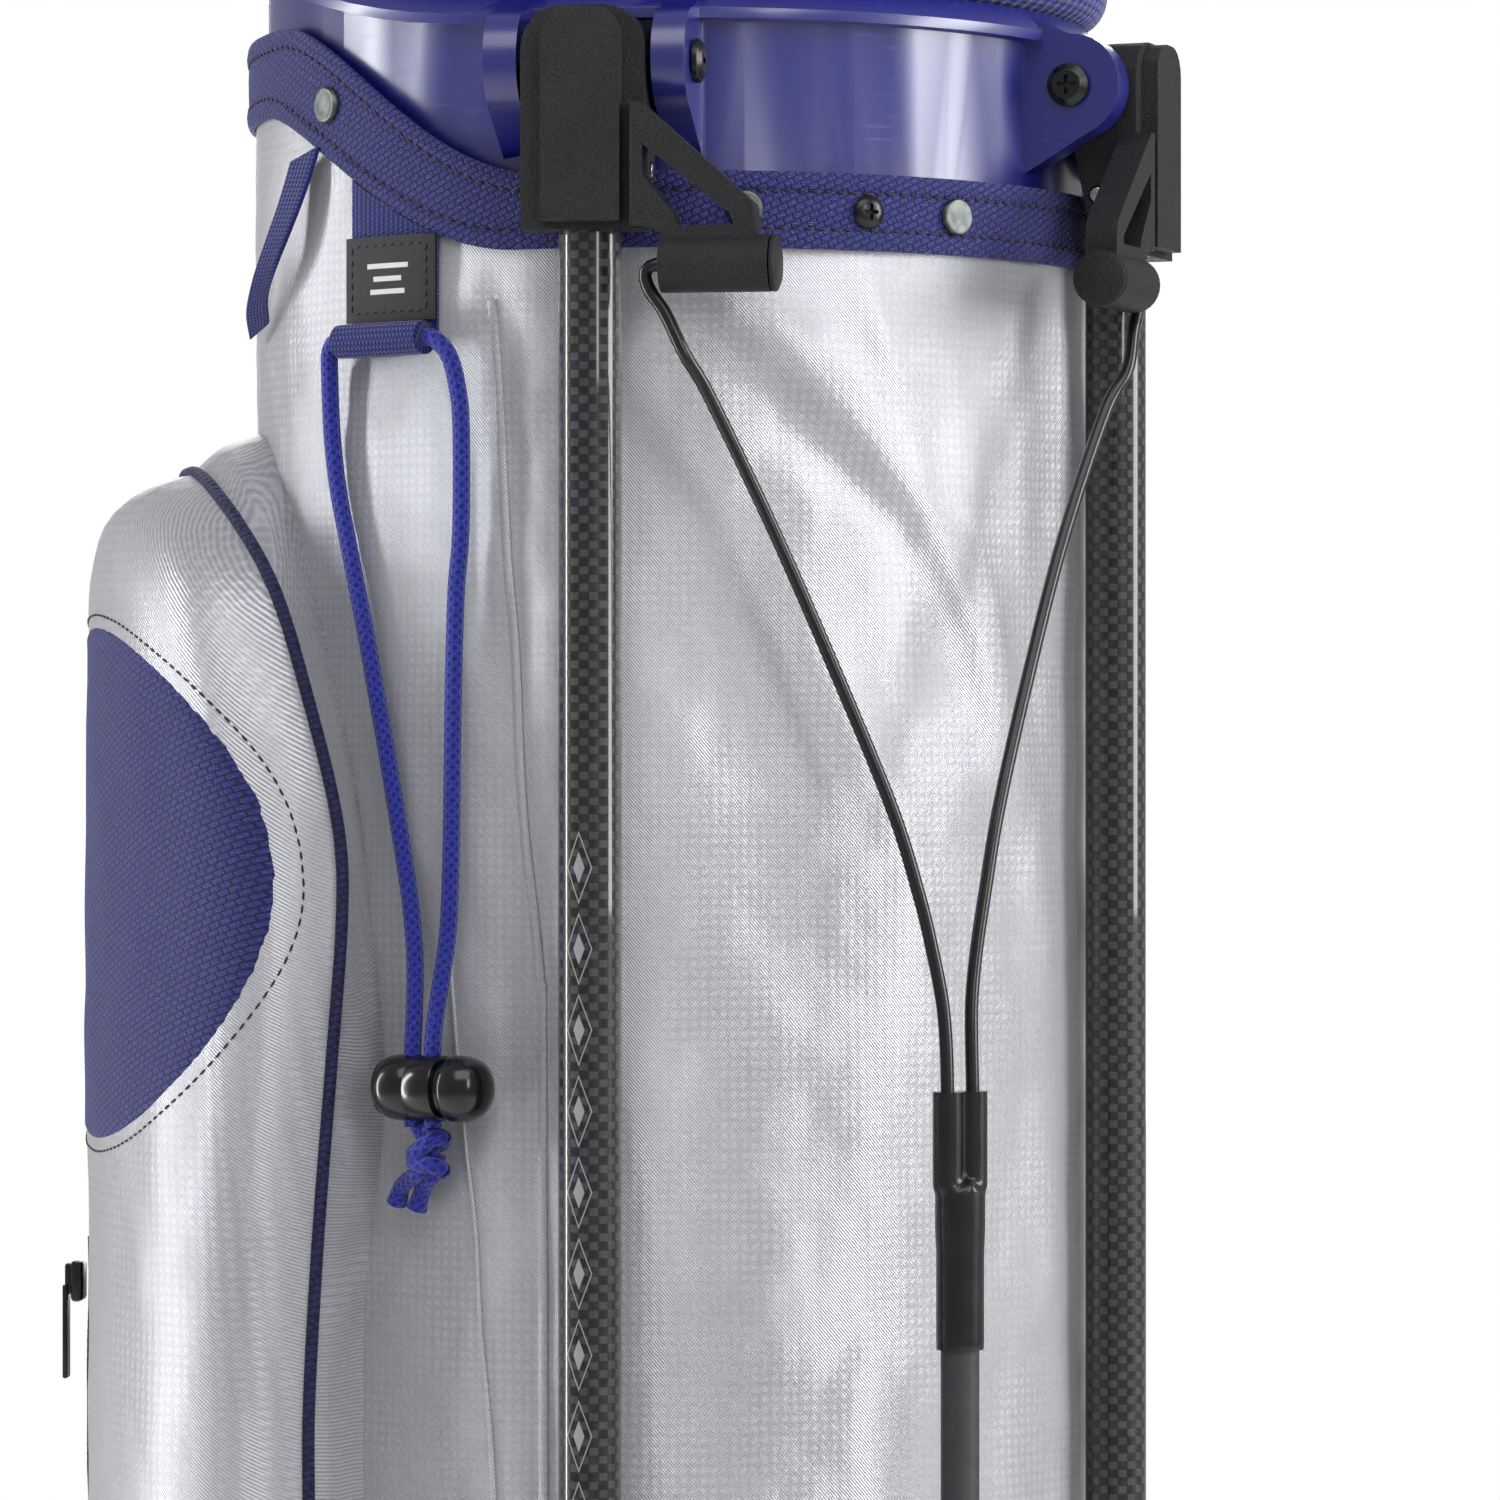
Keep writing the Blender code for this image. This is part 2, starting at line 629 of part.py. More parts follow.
def make_band_and_body(holes):
    """Woven band over the top of the fabric tube."""
    band = add("collar_band", "navy_fabric", band_shape(BAND_RADIUS, BAND_INSIDE, band_top, band_bottom))
    body_shape = band_shape(
        BODY_RADIUS, BODY_RADIUS - BODY_WALL, lambda a: band_top(a) - BODY_UNDER_BAND, lambda a: BODY_BOTTOM
    )
    body = add("bag_body", "silver_fabric", body_shape)
    cut(band, holes)
    cut(body, holes)


def make_fasteners():
    """Domed rivets and one cross-head screw, each through band, fabric and collar."""
    tail = BAND_RADIUS - COLLAR_INSIDE - GAP
    dome = [*RIVET_DOME, (RIVET_HEAD, 0.0), (RIVET_HEAD, -HEAD_SEAT)]
    shank = [(RIVET_SHANK, -HEAD_SEAT), (RIVET_SHANK, -tail), (0.0, -tail)]
    *rivets, screw = fastener_places()
    seat = BAND_RADIUS + GAP + HEAD_SEAT
    for number, (angle, height) in enumerate(rivets, start=1):
        turn = (math.pi / 2, 0.0, math.radians(angle))
        rivet = turned(dome + shank, 20)
        add(f"band_rivet_{number}", "steel", rivet, None, around(angle, seat, height), turn)
    turn = (math.pi / 2, 0.0, math.radians(screw[0]))
    place = around(screw[0], seat, screw[1])
    screw_node = add("collar_screw", "coated_steel", turned([*SCREW_HEAD, *shank], 20), None, place, turn)
    length, width, deep = SCREW_RECESS
    for name, size in (("wide", (length, width, deep)), ("high", (width, length, deep))):
        cut(screw_node, tool(f"screw_slot_{name}", block(size, (0, 0, 0.0024)), screw_node))


# ---------------------------------------------------------------- legs
def bracket_outline():
    """Front outline of the bracket's head."""
    middle = HEAD_HALF - HEAD_CORNER
    outline = arc((middle, HEAD_TOP - HEAD_CORNER), HEAD_CORNER, 0.0, 90.0, 6)
    outline += arc((-middle, HEAD_TOP - HEAD_CORNER), HEAD_CORNER, 90.0, 180.0, 6)
    return outline + [(-HEAD_HALF, BRACKET_BOTTOM), (HEAD_HALF, BRACKET_BOTTOM)]


def bracket_side_outline():
    """Side outline of the bracket's head: round behind the pivot so that it turns clear of the collar."""
    start = math.degrees(math.asin(-math.sqrt(KNUCKLE_RADIUS**2 - BRACKET_INSIDE**2) / KNUCKLE_RADIUS))
    outline = [(BRACKET_INSIDE, BRACKET_BOTTOM)] + arc((0.0, 0.0), KNUCKLE_RADIUS, start, 90.0, 10)
    return [*outline, *HEAD_SHOULDER, (-BRACKET_DEPTH, HEAD_TOP), (-BRACKET_DEPTH, BRACKET_BOTTOM)]


def make_bracket(name, side, axis):
    """Leg bracket: head, raised boss, open arm and the barrel that holds the wire."""
    def shaped(bm, label):
        return tool(f"{label}_{name}", mirrored(bm, side), axis)

    node = f"leg_bracket_{name}"
    head = prism(bracket_outline(), -BRACKET_DEPTH, KNUCKLE_RADIUS + 0.001)
    bracket = add(node, "black_plastic", mirrored(head, side), axis)
    side_cut = prism(bracket_side_outline(), -HEAD_HALF - 0.001, HEAD_HALF + 0.001, "X")
    boolean(bracket, shaped(side_cut, "bracket_side"), "INTERSECT")
    boss = arc(BOSS_CORNERS[0], BOSS_CORNER, 0.0, 90.0, 5)
    boss += arc(BOSS_CORNERS[1], BOSS_CORNER, 90.0, 180.0, 5)
    boss += BOSS_FOOT
    barrel_at = (-BARREL_DEPTH, BARREL_DROP)
    barrel = cylinder(BARREL_RADIUS, BARREL_START, BARREL_END, "X", barrel_at, 28)
    join(
        bracket,
        shaped(prism(boss, -BOSS_DEPTH, -BOSS_INSIDE), "bracket_boss"),
        shaped(prism(ARM_OUTLINE, -BOSS_DEPTH, -ARM_INSIDE), "bracket_arm"),
        shaped(barrel, "bracket_barrel"),
    )
    bore = cylinder(BARREL_BORE, BARREL_START - 0.002, BARREL_END + 0.002, "X", barrel_at, 20)
    socket = cylinder(LEG_TUBE_RADIUS + RUNNING, -0.045, SOCKET_TOP, "Z", (0.0, -TUBE_OFFSET), 28)
    rivet_hole = cylinder(RIVET_SHANK + RUNNING, -0.018, 0.018, "X", (-TUBE_OFFSET, RIVET_DROP), 12)
    cut(
        bracket,
        shaped(prism(WINDOW_OUTLINE, -BOSS_DEPTH - 0.002, -ARM_INSIDE + 0.002), "bracket_window"),
        shaped(bore, "bracket_bore"),
        shaped(socket, "bracket_socket"),
        shaped(rivet_hole, "bracket_rivet_hole"),
        shaped(cylinder(PIVOT_PIN_RADIUS + RUNNING, -0.017, 0.017, "X"), "bracket_pivot_bore"),
    )


def make_leg(name, side, axis):
    """One folding leg with its bracket, fasteners and foot."""
    make_bracket(name, side, axis)
    drop = LEG_BOTTOM - PIVOT_HEIGHT
    inside = LEG_TUBE_RADIUS - LEG_TUBE_WALL
    top = SOCKET_TOP - GAP
    wall = [(LEG_TUBE_RADIUS, top), (LEG_TUBE_RADIUS, drop), (inside, drop), (inside, top)]
    leg = add(f"leg_tube_{name}", "carbon", turned(wall, 28, ring=True), axis, (0.0, -TUBE_OFFSET, 0.0))
    hole = cylinder(RIVET_SHANK + RUNNING, -0.012, 0.012, "X", (-TUBE_OFFSET, RIVET_DROP), 12)
    cut(leg, tool(f"leg_rivet_hole_{name}", hole, axis))
    rivet_end = HEAD_HALF + 0.0005
    rivet = cylinder(RIVET_SHANK, -rivet_end, rivet_end, "X", (-TUBE_OFFSET, RIVET_DROP), 12)
    add(f"leg_rivet_{name}", "steel", rivet, axis)
    cap = [(0.0, CAP_THICKNESS), (0.0050, CAP_THICKNESS), (BARREL_RADIUS, 0.0010), (BARREL_RADIUS, 0.0)]
    cap += [(BARREL_BORE - RUNNING, 0.0), (BARREL_BORE - RUNNING, -0.004), (0.0, -0.004)]
    cap_at = (side * (BARREL_END + GAP), -BARREL_DEPTH, BARREL_DROP)
    add(f"wire_cap_{name}", "black_plastic", turned(cap, 28), axis, cap_at, (0.0, side * math.pi / 2, 0.0))
    foot_top = drop + 0.020
    foot_low = FOOT_BOTTOM - PIVOT_HEIGHT
    socket = LEG_TUBE_RADIUS + RUNNING
    foot = [
        (0.0, drop - GAP), (socket, drop - GAP), (socket, foot_top), (FOOT_RADIUS - 0.0004, foot_top),
        (FOOT_RADIUS, foot_top - 0.003), (FOOT_RADIUS, foot_low + 0.005),
        (FOOT_RADIUS - 0.002, foot_low + 0.001), (FOOT_RADIUS - 0.005, foot_low), (0.0, foot_low),
    ]
    add(f"leg_foot_{name}", "rubber", turned(foot, 28), axis, (0.0, -TUBE_OFFSET, 0.0))
    ear_face = HEAD_HALF + SWING + EAR_THICKNESS + GAP
    screw = [
        (0.0, ear_face + PIVOT_HEAD_THICKNESS), (0.0036, ear_face + PIVOT_HEAD_THICKNESS),
        (PIVOT_HEAD_RADIUS, ear_face + 0.0013), (PIVOT_HEAD_RADIUS, ear_face), (PIVOT_PIN_RADIUS, ear_face),
        (PIVOT_PIN_RADIUS, -ear_face - 0.001), (0.0, -ear_face - 0.001),
    ]
    along_hinge = (0.0, side * math.pi / 2, 0.0)
    pin = add(f"pivot_screw_{name}", "coated_steel", turned(screw, 24), axis, turn=along_hinge)
    slot_at = (0.0, 0.0, ear_face + PIVOT_HEAD_THICKNESS)
    length, width, deep = PIVOT_RECESS
    for label, size in (("wide", (length, width, deep)), ("high", (width, length, deep))):
        cut(pin, tool(f"pivot_slot_{name}_{label}", block(size, slot_at), pin))


# ---------------------------------------------------------------- actuator
def make_wire(name, side, axis):
    """Spring wire from the sleeve up to its hook in the bracket's barrel."""
    foot = Vector((-side * WIRE_SPACING, -ROD_FORWARD, SLEEVE_TOP))
    turn = Matrix.Translation(axis.location) @ Matrix.Rotation(axis.rotation_euler.z, 4, "Z")
    hook = [turn @ Vector((side * x, -BARREL_DEPTH, z)) for x, z in WIRE_HOOK]
    pin = [turn @ Vector((side * x, -BARREL_DEPTH, BARREL_DROP)) for x in (*WIRE_PIN_START, WIRE_PIN_END)]
    barrel_mouth = turn @ Vector((side * BARREL_MOUTH, -BARREL_DEPTH, BARREL_DROP))
    way = barrel_mouth - foot
    rise = [foot + Vector((way.x * s, way.y * i, way.z * r)) for r, s, i in WIRE_SHAPE]
    start = foot - Vector((0.0, 0.0, WIRE_END_IN_SLEEVE))
    tube(f"wire_{name}", "coated_steel", smooth_route([start, *rise, *hook, *pin], 0.0065), WIRE_RADIUS)


def make_sleeve_and_rod():
    """Shrink sleeve over the two wires and the rod, the rod, and its moulded end."""
    at = (0.0, -ROD_FORWARD, 0.0)
    sleeve = add(
        "shrink_sleeve", "gloss_black",
        cylinder(SLEEVE_RADIUS, SLEEVE_BOTTOM, SLEEVE_NOTCH, "Z", segments=24), None, at
    )
    lobe_centre = WIRE_SPACING - 0.00015
    for name, x in (("left", -lobe_centre), ("right", lobe_centre)):
        lobe = cylinder(SLEEVE_LOBE, SLEEVE_NOTCH - 0.004, SLEEVE_TOP, "Z", (x, 0.0), 20)
        join(sleeve, tool(f"sleeve_lobe_{name}", lobe, sleeve))
    for name, x in (("left", -WIRE_SPACING), ("right", WIRE_SPACING)):
        pocket_low = SLEEVE_TOP - WIRE_POCKET_DEPTH
        pocket = cylinder(WIRE_POCKET, pocket_low, SLEEVE_TOP + 0.002, "Z", (x, 0.0), 16)
        cut(sleeve, tool(f"sleeve_pocket_{name}", pocket, sleeve))
    rod_top = SLEEVE_BOTTOM + 0.030
    rod_pocket = cylinder(ROD_RADIUS + RUNNING, SLEEVE_BOTTOM - 0.002, rod_top + GAP, "Z", segments=24)
    cut(sleeve, tool("sleeve_rod_pocket", rod_pocket, sleeve))
    rod_low = ROD_PIN_HEIGHT + 0.010
    add("actuator_rod", "coated_steel", cylinder(ROD_RADIUS, rod_low, rod_top, "Z", segments=24), None, at)
    end = add(
        "rod_end", "black_plastic",
        cylinder(0.0072, ROD_PIN_HEIGHT + 0.005, ROD_PIN_HEIGHT + 0.034, "Z", segments=24), None, at
    )
    eye = block((2 * ROD_EYE_HALF, 0.0176, 0.014), (0.0, 0.0, ROD_PIN_HEIGHT + 0.0005))
    slot = block((0.03, 0.0102, 2 * ROD_EYE_SLOT), (0.0, 0.0, ROD_PIN_HEIGHT))
    socket = cylinder(ROD_RADIUS + RUNNING, rod_low - GAP, ROD_PIN_HEIGHT + 0.04, "Z", segments=24)
    join(end, tool("rod_end_eye", eye, end))
    flat = ROD_EYE_HALF + 0.01
    for name, x in (("left", -flat), ("right", flat)):
        side_flat = block((0.02, 0.03, 0.0132), (x, 0.0, ROD_PIN_HEIGHT + 0.0040))
        cut(end, tool(f"rod_end_flat_{name}", side_flat, end))
    cut(end, tool("rod_end_slot", slot, end), tool("rod_end_socket", socket, end))


# ---------------------------------------------------------------- base
def make_base():
    """Base cup with its hub, the foam pad on its floor, the foot plate and the two pins."""
    insert = BODY_RADIUS - BODY_WALL - GAP
    seat = BODY_BOTTOM - GAP
    top = seat + CUP_INSERT_HEIGHT
    floor = CUP_FLOOR_UNDERSIDE + CUP_FLOOR
    inside = insert - CUP_WALL
    rim_inside = CUP_RADIUS - CUP_RIM
    profile = [
        (0.0, floor), (inside, floor), (inside, top), (insert, top), (insert, seat), (CUP_RADIUS, seat),
        (CUP_RADIUS, CUP_CHAMFER), (CUP_RADIUS - CUP_CHAMFER, 0.0), (rim_inside, 0.0),
        (rim_inside, CUP_FLOOR_UNDERSIDE), (CUP_HUB_RADIUS, CUP_FLOOR_UNDERSIDE), (CUP_HUB_RADIUS, 0.0),
        (0.0, 0.0),
    ]
    cup = add("base_cup", "black_plastic", turned(profile, 48))
    foot_axis = empty("foot_axis", (0.0, -FOOT_HINGE_FORWARD, FOOT_HINGE_HEIGHT))
    opening = FOOT_PLATE_HALF + 0.004
    notch_back = FOOT_HINGE_FORWARD + 0.020
    notch_height = CUP_FLOOR_UNDERSIDE - CUP_NOTCH_ROOF - CUP_NOTCH_HEIGHT / 2
    notch_at = (0.0, -notch_back - CUP_NOTCH_DEPTH / 2, notch_height)
    cut(cup, tool("foot_notch", block((2 * opening, CUP_NOTCH_DEPTH, CUP_NOTCH_HEIGHT), notch_at)))
    reach = FOOT_LUG_START + FOOT_LUG_WIDTH
    for name, side in (("left", -1), ("right", 1)):
        middle = side * (FOOT_LUG_START + FOOT_LUG_WIDTH / 2)
        low = FOOT_HINGE_HEIGHT - 0.0055
        high = CUP_FLOOR_UNDERSIDE + 0.001
        lug = block((FOOT_LUG_WIDTH, 0.013, high - low), (middle, -FOOT_HINGE_FORWARD, (high + low) / 2))
        join(cup, tool(f"foot_lug_{name}", lug))
    lug_bore = cylinder(FOOT_PIN_RADIUS + RUNNING, -reach - 0.002, reach + 0.002, "X")
    cut(cup, tool("foot_lug_bore", lug_bore, foot_axis))
    add("foot_hinge_pin", "steel", cylinder(FOOT_PIN_RADIUS, -reach, reach, "X", segments=16), foot_axis)
    pad_radius = inside - STAY_INSET - 2 * STAY_RADIUS - 0.003
    pad_low = floor + GAP
    pad_high = pad_low + PAD_THICKNESS
    foam = [(0.0, pad_high), (pad_radius, pad_high), (pad_radius, pad_low), (0.0, pad_low)]
    add("floor_pad", "foam", turned(foam, 48))
    make_foot_plate(foot_axis)
    stay_top = PIVOT_HEIGHT - 0.035
    for name, side in (("left", -1), ("right", 1)):
        stay = cylinder(STAY_RADIUS, floor + GAP, stay_top, "Z", (side * (inside - STAY_INSET), 0.0), 12)
        add(f"spine_stay_{name}", "coated_steel", stay)


def make_foot_plate(axis):
    """Plate that lies under the front of the base and lifts the rod when the bag leans on it."""
    low = FOOT_PLATE_BOTTOM - FOOT_HINGE_HEIGHT
    high = low + FOOT_PLATE_THICKNESS
    neck = FOOT_LUG_START - 0.0015
    tip = FOOT_PLATE_REACH - FOOT_HINGE_FORWARD
    rod_at = ROD_FORWARD - FOOT_HINGE_FORWARD
    outline = [
        (-neck, 0.0), (neck, 0.0), (neck, -0.018), (FOOT_PLATE_HALF, -0.030), (FOOT_PLATE_HALF, -0.066),
        (0.030, 0.006 - tip), (0.020, -tip), (-0.020, -tip), (-0.030, 0.006 - tip),
        (-FOOT_PLATE_HALF, -0.066), (-FOOT_PLATE_HALF, -0.030), (-neck, -0.018),
    ]
    plate = add("foot_plate", "black_plastic", prism(outline, low, high, "Z"), axis)
    knuckle = cylinder(FOOT_KNUCKLE_RADIUS, -neck, neck, "X", segments=20)
    web = block((2 * neck, 0.008, 0.008), (0.0, -0.004, -0.0046))
    join(plate, tool("foot_web", web, axis), tool("foot_knuckle", knuckle, axis))
    pin_height = ROD_PIN_HEIGHT - FOOT_HINGE_HEIGHT
    ear_inside = ROD_EYE_HALF + 0.0006
    ear_top = pin_height + 0.0045
    for name, side in (("left", -1), ("right", 1)):
        ear_at = (side * (ear_inside + FOOT_EAR_WIDTH / 2), -rod_at, (ear_top + high) / 2 - 0.0005)
        ear = block((FOOT_EAR_WIDTH, 0.012, ear_top - high + 0.001), ear_at)
        join(plate, tool(f"foot_ear_{name}", ear, axis))
    reach = ear_inside + FOOT_EAR_WIDTH
    bore = cylinder(ROD_PIN_RADIUS + RUNNING, -reach - 0.001, reach + 0.001, "X", (-rod_at, pin_height), 16)
    hinge_bore = cylinder(FOOT_PIN_RADIUS + RUNNING, -neck - 0.002, neck + 0.002, "X", segments=16)
    cut(plate, tool("rod_pin_bore", bore, axis), tool("foot_bore", hinge_bore, axis))
    add("rod_pin", "steel", cylinder(ROD_PIN_RADIUS, -reach, reach, "X", (-rod_at, pin_height), 16), axis)


# ---------------------------------------------------------------- pockets, straps, handle
def pocket_shape(centre, half, depth, bottom, top, shoulder):
    """Point function of a pocket: flat on the body, full in the middle, its upper corners drawn in."""
    base = BODY_RADIUS + POCKET_STANDOFF

    def shape(u, v, outer):
        height = bottom + (top - bottom) * (v + 1) / 2
        over = max(0.0, (height - (top - shoulder)) / shoulder)
        width = half * max(0.35, math.sqrt(max(0.0, 1.0 - over * over)))
        crown = (1.0 - abs(u) ** 4) ** 0.5 if abs(u) < 1 else 0.0
        near_end = min(1.0, (1.0 + v) / 0.10, (1.0 - v) / 0.30)
        swell = 0.12 + 0.88 * crown * math.sin(math.pi / 2 * max(0.0, near_end))
        radius = base + (depth * swell if outer else 0.0)
        return around(centre + math.degrees(u * width / BODY_RADIUS), radius, height)

    return shape


def make_zip(name, shape, u, low, high, joint_name):
    """Zip tape on a pocket's side, and its slider at the closed, upper end."""
    count = 12
    rows = [low + (high - low) * i / count for i in range(count + 1)]
    points = [shape(u, v, True) for v in rows]
    sides = [(shape(u + 0.02, v, True) - shape(u - 0.02, v, True)).normalized() for v in rows]
    normals = [side.cross(Vector((0, 0, 1))).normalized() for side in sides]
    lift = ZIP_THICKNESS / 2 + 0.0012
    route = [point + normal * lift for point, normal in zip(points, normals)]
    ribbon(name, "black_webbing", route, sides, ZIP_WIDTH, ZIP_THICKNESS)
    seat = route[-1] + normals[-1] * (ZIP_THICKNESS / 2 + SLIDER_SIZE[1] / 2 + GAP)
    seat.z -= SLIDER_SIZE[2]
    turn = (0.0, 0.0, math.atan2(sides[-1].y, sides[-1].x))
    add(joint_name, "steel", block(SLIDER_SIZE, (0, 0, 0)), None, seat, turn, smooth=False)


def make_pockets():
    """Two zipped pockets, a slip pocket with a flap, and the hip pad."""
    apparel = pocket_shape(
        POCKET_CENTRE, POCKET_HALF, POCKET_DEPTH, POCKET_BOTTOM, POCKET_TOP, POCKET_SHOULDER
    )
    pad("apparel_pocket", "silver_fabric", apparel, 10, 16)
    make_zip("apparel_zip_tape", apparel, -0.45, -0.80, 0.30, "apparel_zip_slider")
    ball = pocket_shape(BALL_CENTRE, BALL_HALF, BALL_DEPTH, BALL_BOTTOM, BALL_TOP, 0.060)
    pad("ball_pocket", "silver_fabric", ball, 8, 10)
    make_zip("ball_zip_tape", ball, -0.45, -0.70, 0.30, "ball_zip_slider")
    accessory = pocket_shape(
        ACCESSORY_CENTRE, ACCESSORY_HALF, ACCESSORY_DEPTH, ACCESSORY_BOTTOM, ACCESSORY_TOP, 0.050
    )
    pad("accessory_pocket", "navy_fabric", accessory, 8, 10)
    hip = pocket_shape(HIP_CENTRE, HIP_HALF, HIP_DEPTH, HIP_BOTTOM, HIP_TOP, 0.030)
    pad("hip_pad", "black_webbing", hip, 6, 8)


def strap_route(angle, radius, top, bottom, count):
    """Straight run down the body at one angle."""
    heights = [top + (bottom - top) * i / count for i in range(count + 1)]
    route = [around(angle, radius, height) for height in heights]
    return route, [around(angle + 90, 1.0, 0.0)] * (count + 1)


def make_straps():
    """Two shoulder straps hanging down the body: webbing, pad, ladder lock and tail."""
    for name, angle in zip("ab", STRAP_ANGLES):
        centre = BODY_RADIUS + GAP + STRAP_PAD_THICKNESS / 2 + 0.0025
        side = around(angle + 90, 1.0, 0.0)
        pad_bottom = STRAP_PAD_TOP - STRAP_PAD_LENGTH
        web_top = band_bottom(angle) - 0.0015 - WEBBING_THICKNESS
        web_top = min(web_top, band_bottom(angle - 8) - 0.0015, band_bottom(angle + 8) - 0.0015)
        near = BODY_RADIUS + 0.0016 + WEBBING_THICKNESS / 2
        upper = [around(angle, near, web_top), around(angle, centre, STRAP_PAD_TOP + 0.012)]
        upper.append(around(angle, centre, STRAP_PAD_TOP + GAP))
        upper = smooth_route(upper, 0.008)
        sides = [side] * len(upper)
        ribbon(f"strap_webbing_{name}", "black_webbing", upper, sides, WEBBING_WIDTH, WEBBING_THICKNESS)
        route, sides = strap_route(angle, centre, STRAP_PAD_TOP, pad_bottom, 8)
        soft = ribbon(f"strap_pad_{name}", "black_webbing", route, sides, STRAP_WIDTH, STRAP_PAD_THICKNESS)
        rounding = soft.modifiers.new("rounding", "BEVEL")
        rounding.width = STRAP_PAD_THICKNESS * 0.3
        rounding.segments = 2
        rounding.limit_method = "ANGLE"
        buckle_at = around(angle, centre, pad_bottom - GAP)
        frame = empty(f"strap_buckle_{name}_frame", buckle_at, math.radians(angle))
        outline = [(-BUCKLE_HALF, 0.0), (-BUCKLE_HALF, -BUCKLE_HEIGHT)]
        outline += [(BUCKLE_HALF, -BUCKLE_HEIGHT), (BUCKLE_HALF, 0.0)]
        buckle = add(f"strap_buckle_{name}", "gloss_black", prism(outline, -0.0025, 0.0025), frame)
        for which, height in (("top", -0.009), ("bottom", -0.021)):
            slot = block((2 * BUCKLE_HALF - 0.008, 0.02, 0.006), (0.0, 0.0, height))
            cut(buckle, tool(f"buckle_slot_{name}_{which}", slot, frame))
        tail_top = pad_bottom - 2 * GAP - BUCKLE_HEIGHT
        lower = [around(angle, centre, tail_top), around(angle, centre - 0.002, tail_top - 0.03)]
        lower += [around(angle, near + 0.0004, tail_top - STRAP_TAIL_LENGTH * 0.7)]
        lower += [around(angle, near + 0.0004, tail_top - STRAP_TAIL_LENGTH)]
        route = smooth_route(lower, 0.012)
        ribbon(f"strap_tail_{name}", "black_webbing", route, [side] * len(route), WEBBING_WIDTH * 0.8,
               WEBBING_THICKNESS)


def make_handle():
    """Grab handle across the back of the collar."""
    height = PIVOT_HEIGHT + (BAND_TOP + BAND_TOP_RISE + BAND_BOTTOM + BAND_BOTTOM_RISE) / 2
    start = BAND_RADIUS + GAP + 0.0012
    points = []
    for side in (-1, 1):
        angle = 180.0 + side * HANDLE_ANGLE
        leg = [around(angle, start, height), around(angle, start + 0.012, height)]
        leg.append(around(180.0 + side * HANDLE_ANGLE * 0.72, start + HANDLE_REACH * 0.8, height))
        points += leg if side < 0 else [around(180.0, start + HANDLE_REACH, height)] + leg[::-1]
    tube("grab_handle", "black_plastic", smooth_route(points, 0.009), HANDLE_RADIUS, 3)


# ---------------------------------------------------------------- towel loop and drawcord
def make_towel_loop():
    """Webbing tab under the band, rolled at its end round the drawcord, with a plain sewn label."""
    half = math.degrees(TOWEL_WIDTH / 2 / BODY_RADIUS)
    inside = BODY_RADIUS + GAP
    end = PIVOT_HEIGHT + ROLL_DROP

    def tab(u, v, outer):
        angle = TOWEL_ANGLE + u * half
        top = band_bottom(angle) - GAP
        height = end + (top - end) * (v + 1) / 2
        return around(angle, inside + (BAND_THICKNESS if outer else 0.0), height)

    towel = pad("towel_webbing", "webbing_blue", tab, 4, 2)
    roll_at = around(TOWEL_ANGLE, BODY_RADIUS + ROLL_STANDOFF, end)
    frame = empty("towel_roll_frame", roll_at, math.radians(TOWEL_ANGLE))
    roll = cylinder(ROLL_RADIUS, -TOWEL_WIDTH / 2, TOWEL_WIDTH / 2, "X", segments=16)
    join(towel, tool("towel_roll", roll, frame))
    low = end + ROLL_RADIUS + GAP
    label_inside = inside + BAND_THICKNESS + GAP

    def label(u, v, outer):
        height = low + LABEL_HEIGHT * (v + 1) / 2
        radius = label_inside + (LABEL_THICKNESS if outer else 0.0)
        return around(TOWEL_ANGLE + u * half * 1.03, radius, height)

    pad("label_patch", "black_webbing", label, 4, 1)
    route = smooth_route([around(a, BODY_RADIUS + s, PIVOT_HEIGHT + d) for a, s, d in SIDE_LOOP], 0.006)
    sides = [Vector((0, 0, 1)).cross(b - a).normalized() for a, b in zip(route, route[1:])]
    sides.append(sides[-1])
    ribbon("side_loop", "webbing_blue", route, sides, 0.004, 0.0045)


def make_cords():
    """The drawcord's two branches, from the roll's ends through the cord lock."""
    for name, route in (("left", DRAWCORD_LEFT), ("right", DRAWCORD_RIGHT)):
        points = [around(angle, BODY_RADIUS + out, PIVOT_HEIGHT + drop) for angle, out, drop in route]
        route = [points[0], *smooth_route(points[1:], 0.0090)]
        tube(f"drawcord_{name}", "webbing_blue", route, CORD_RADIUS)


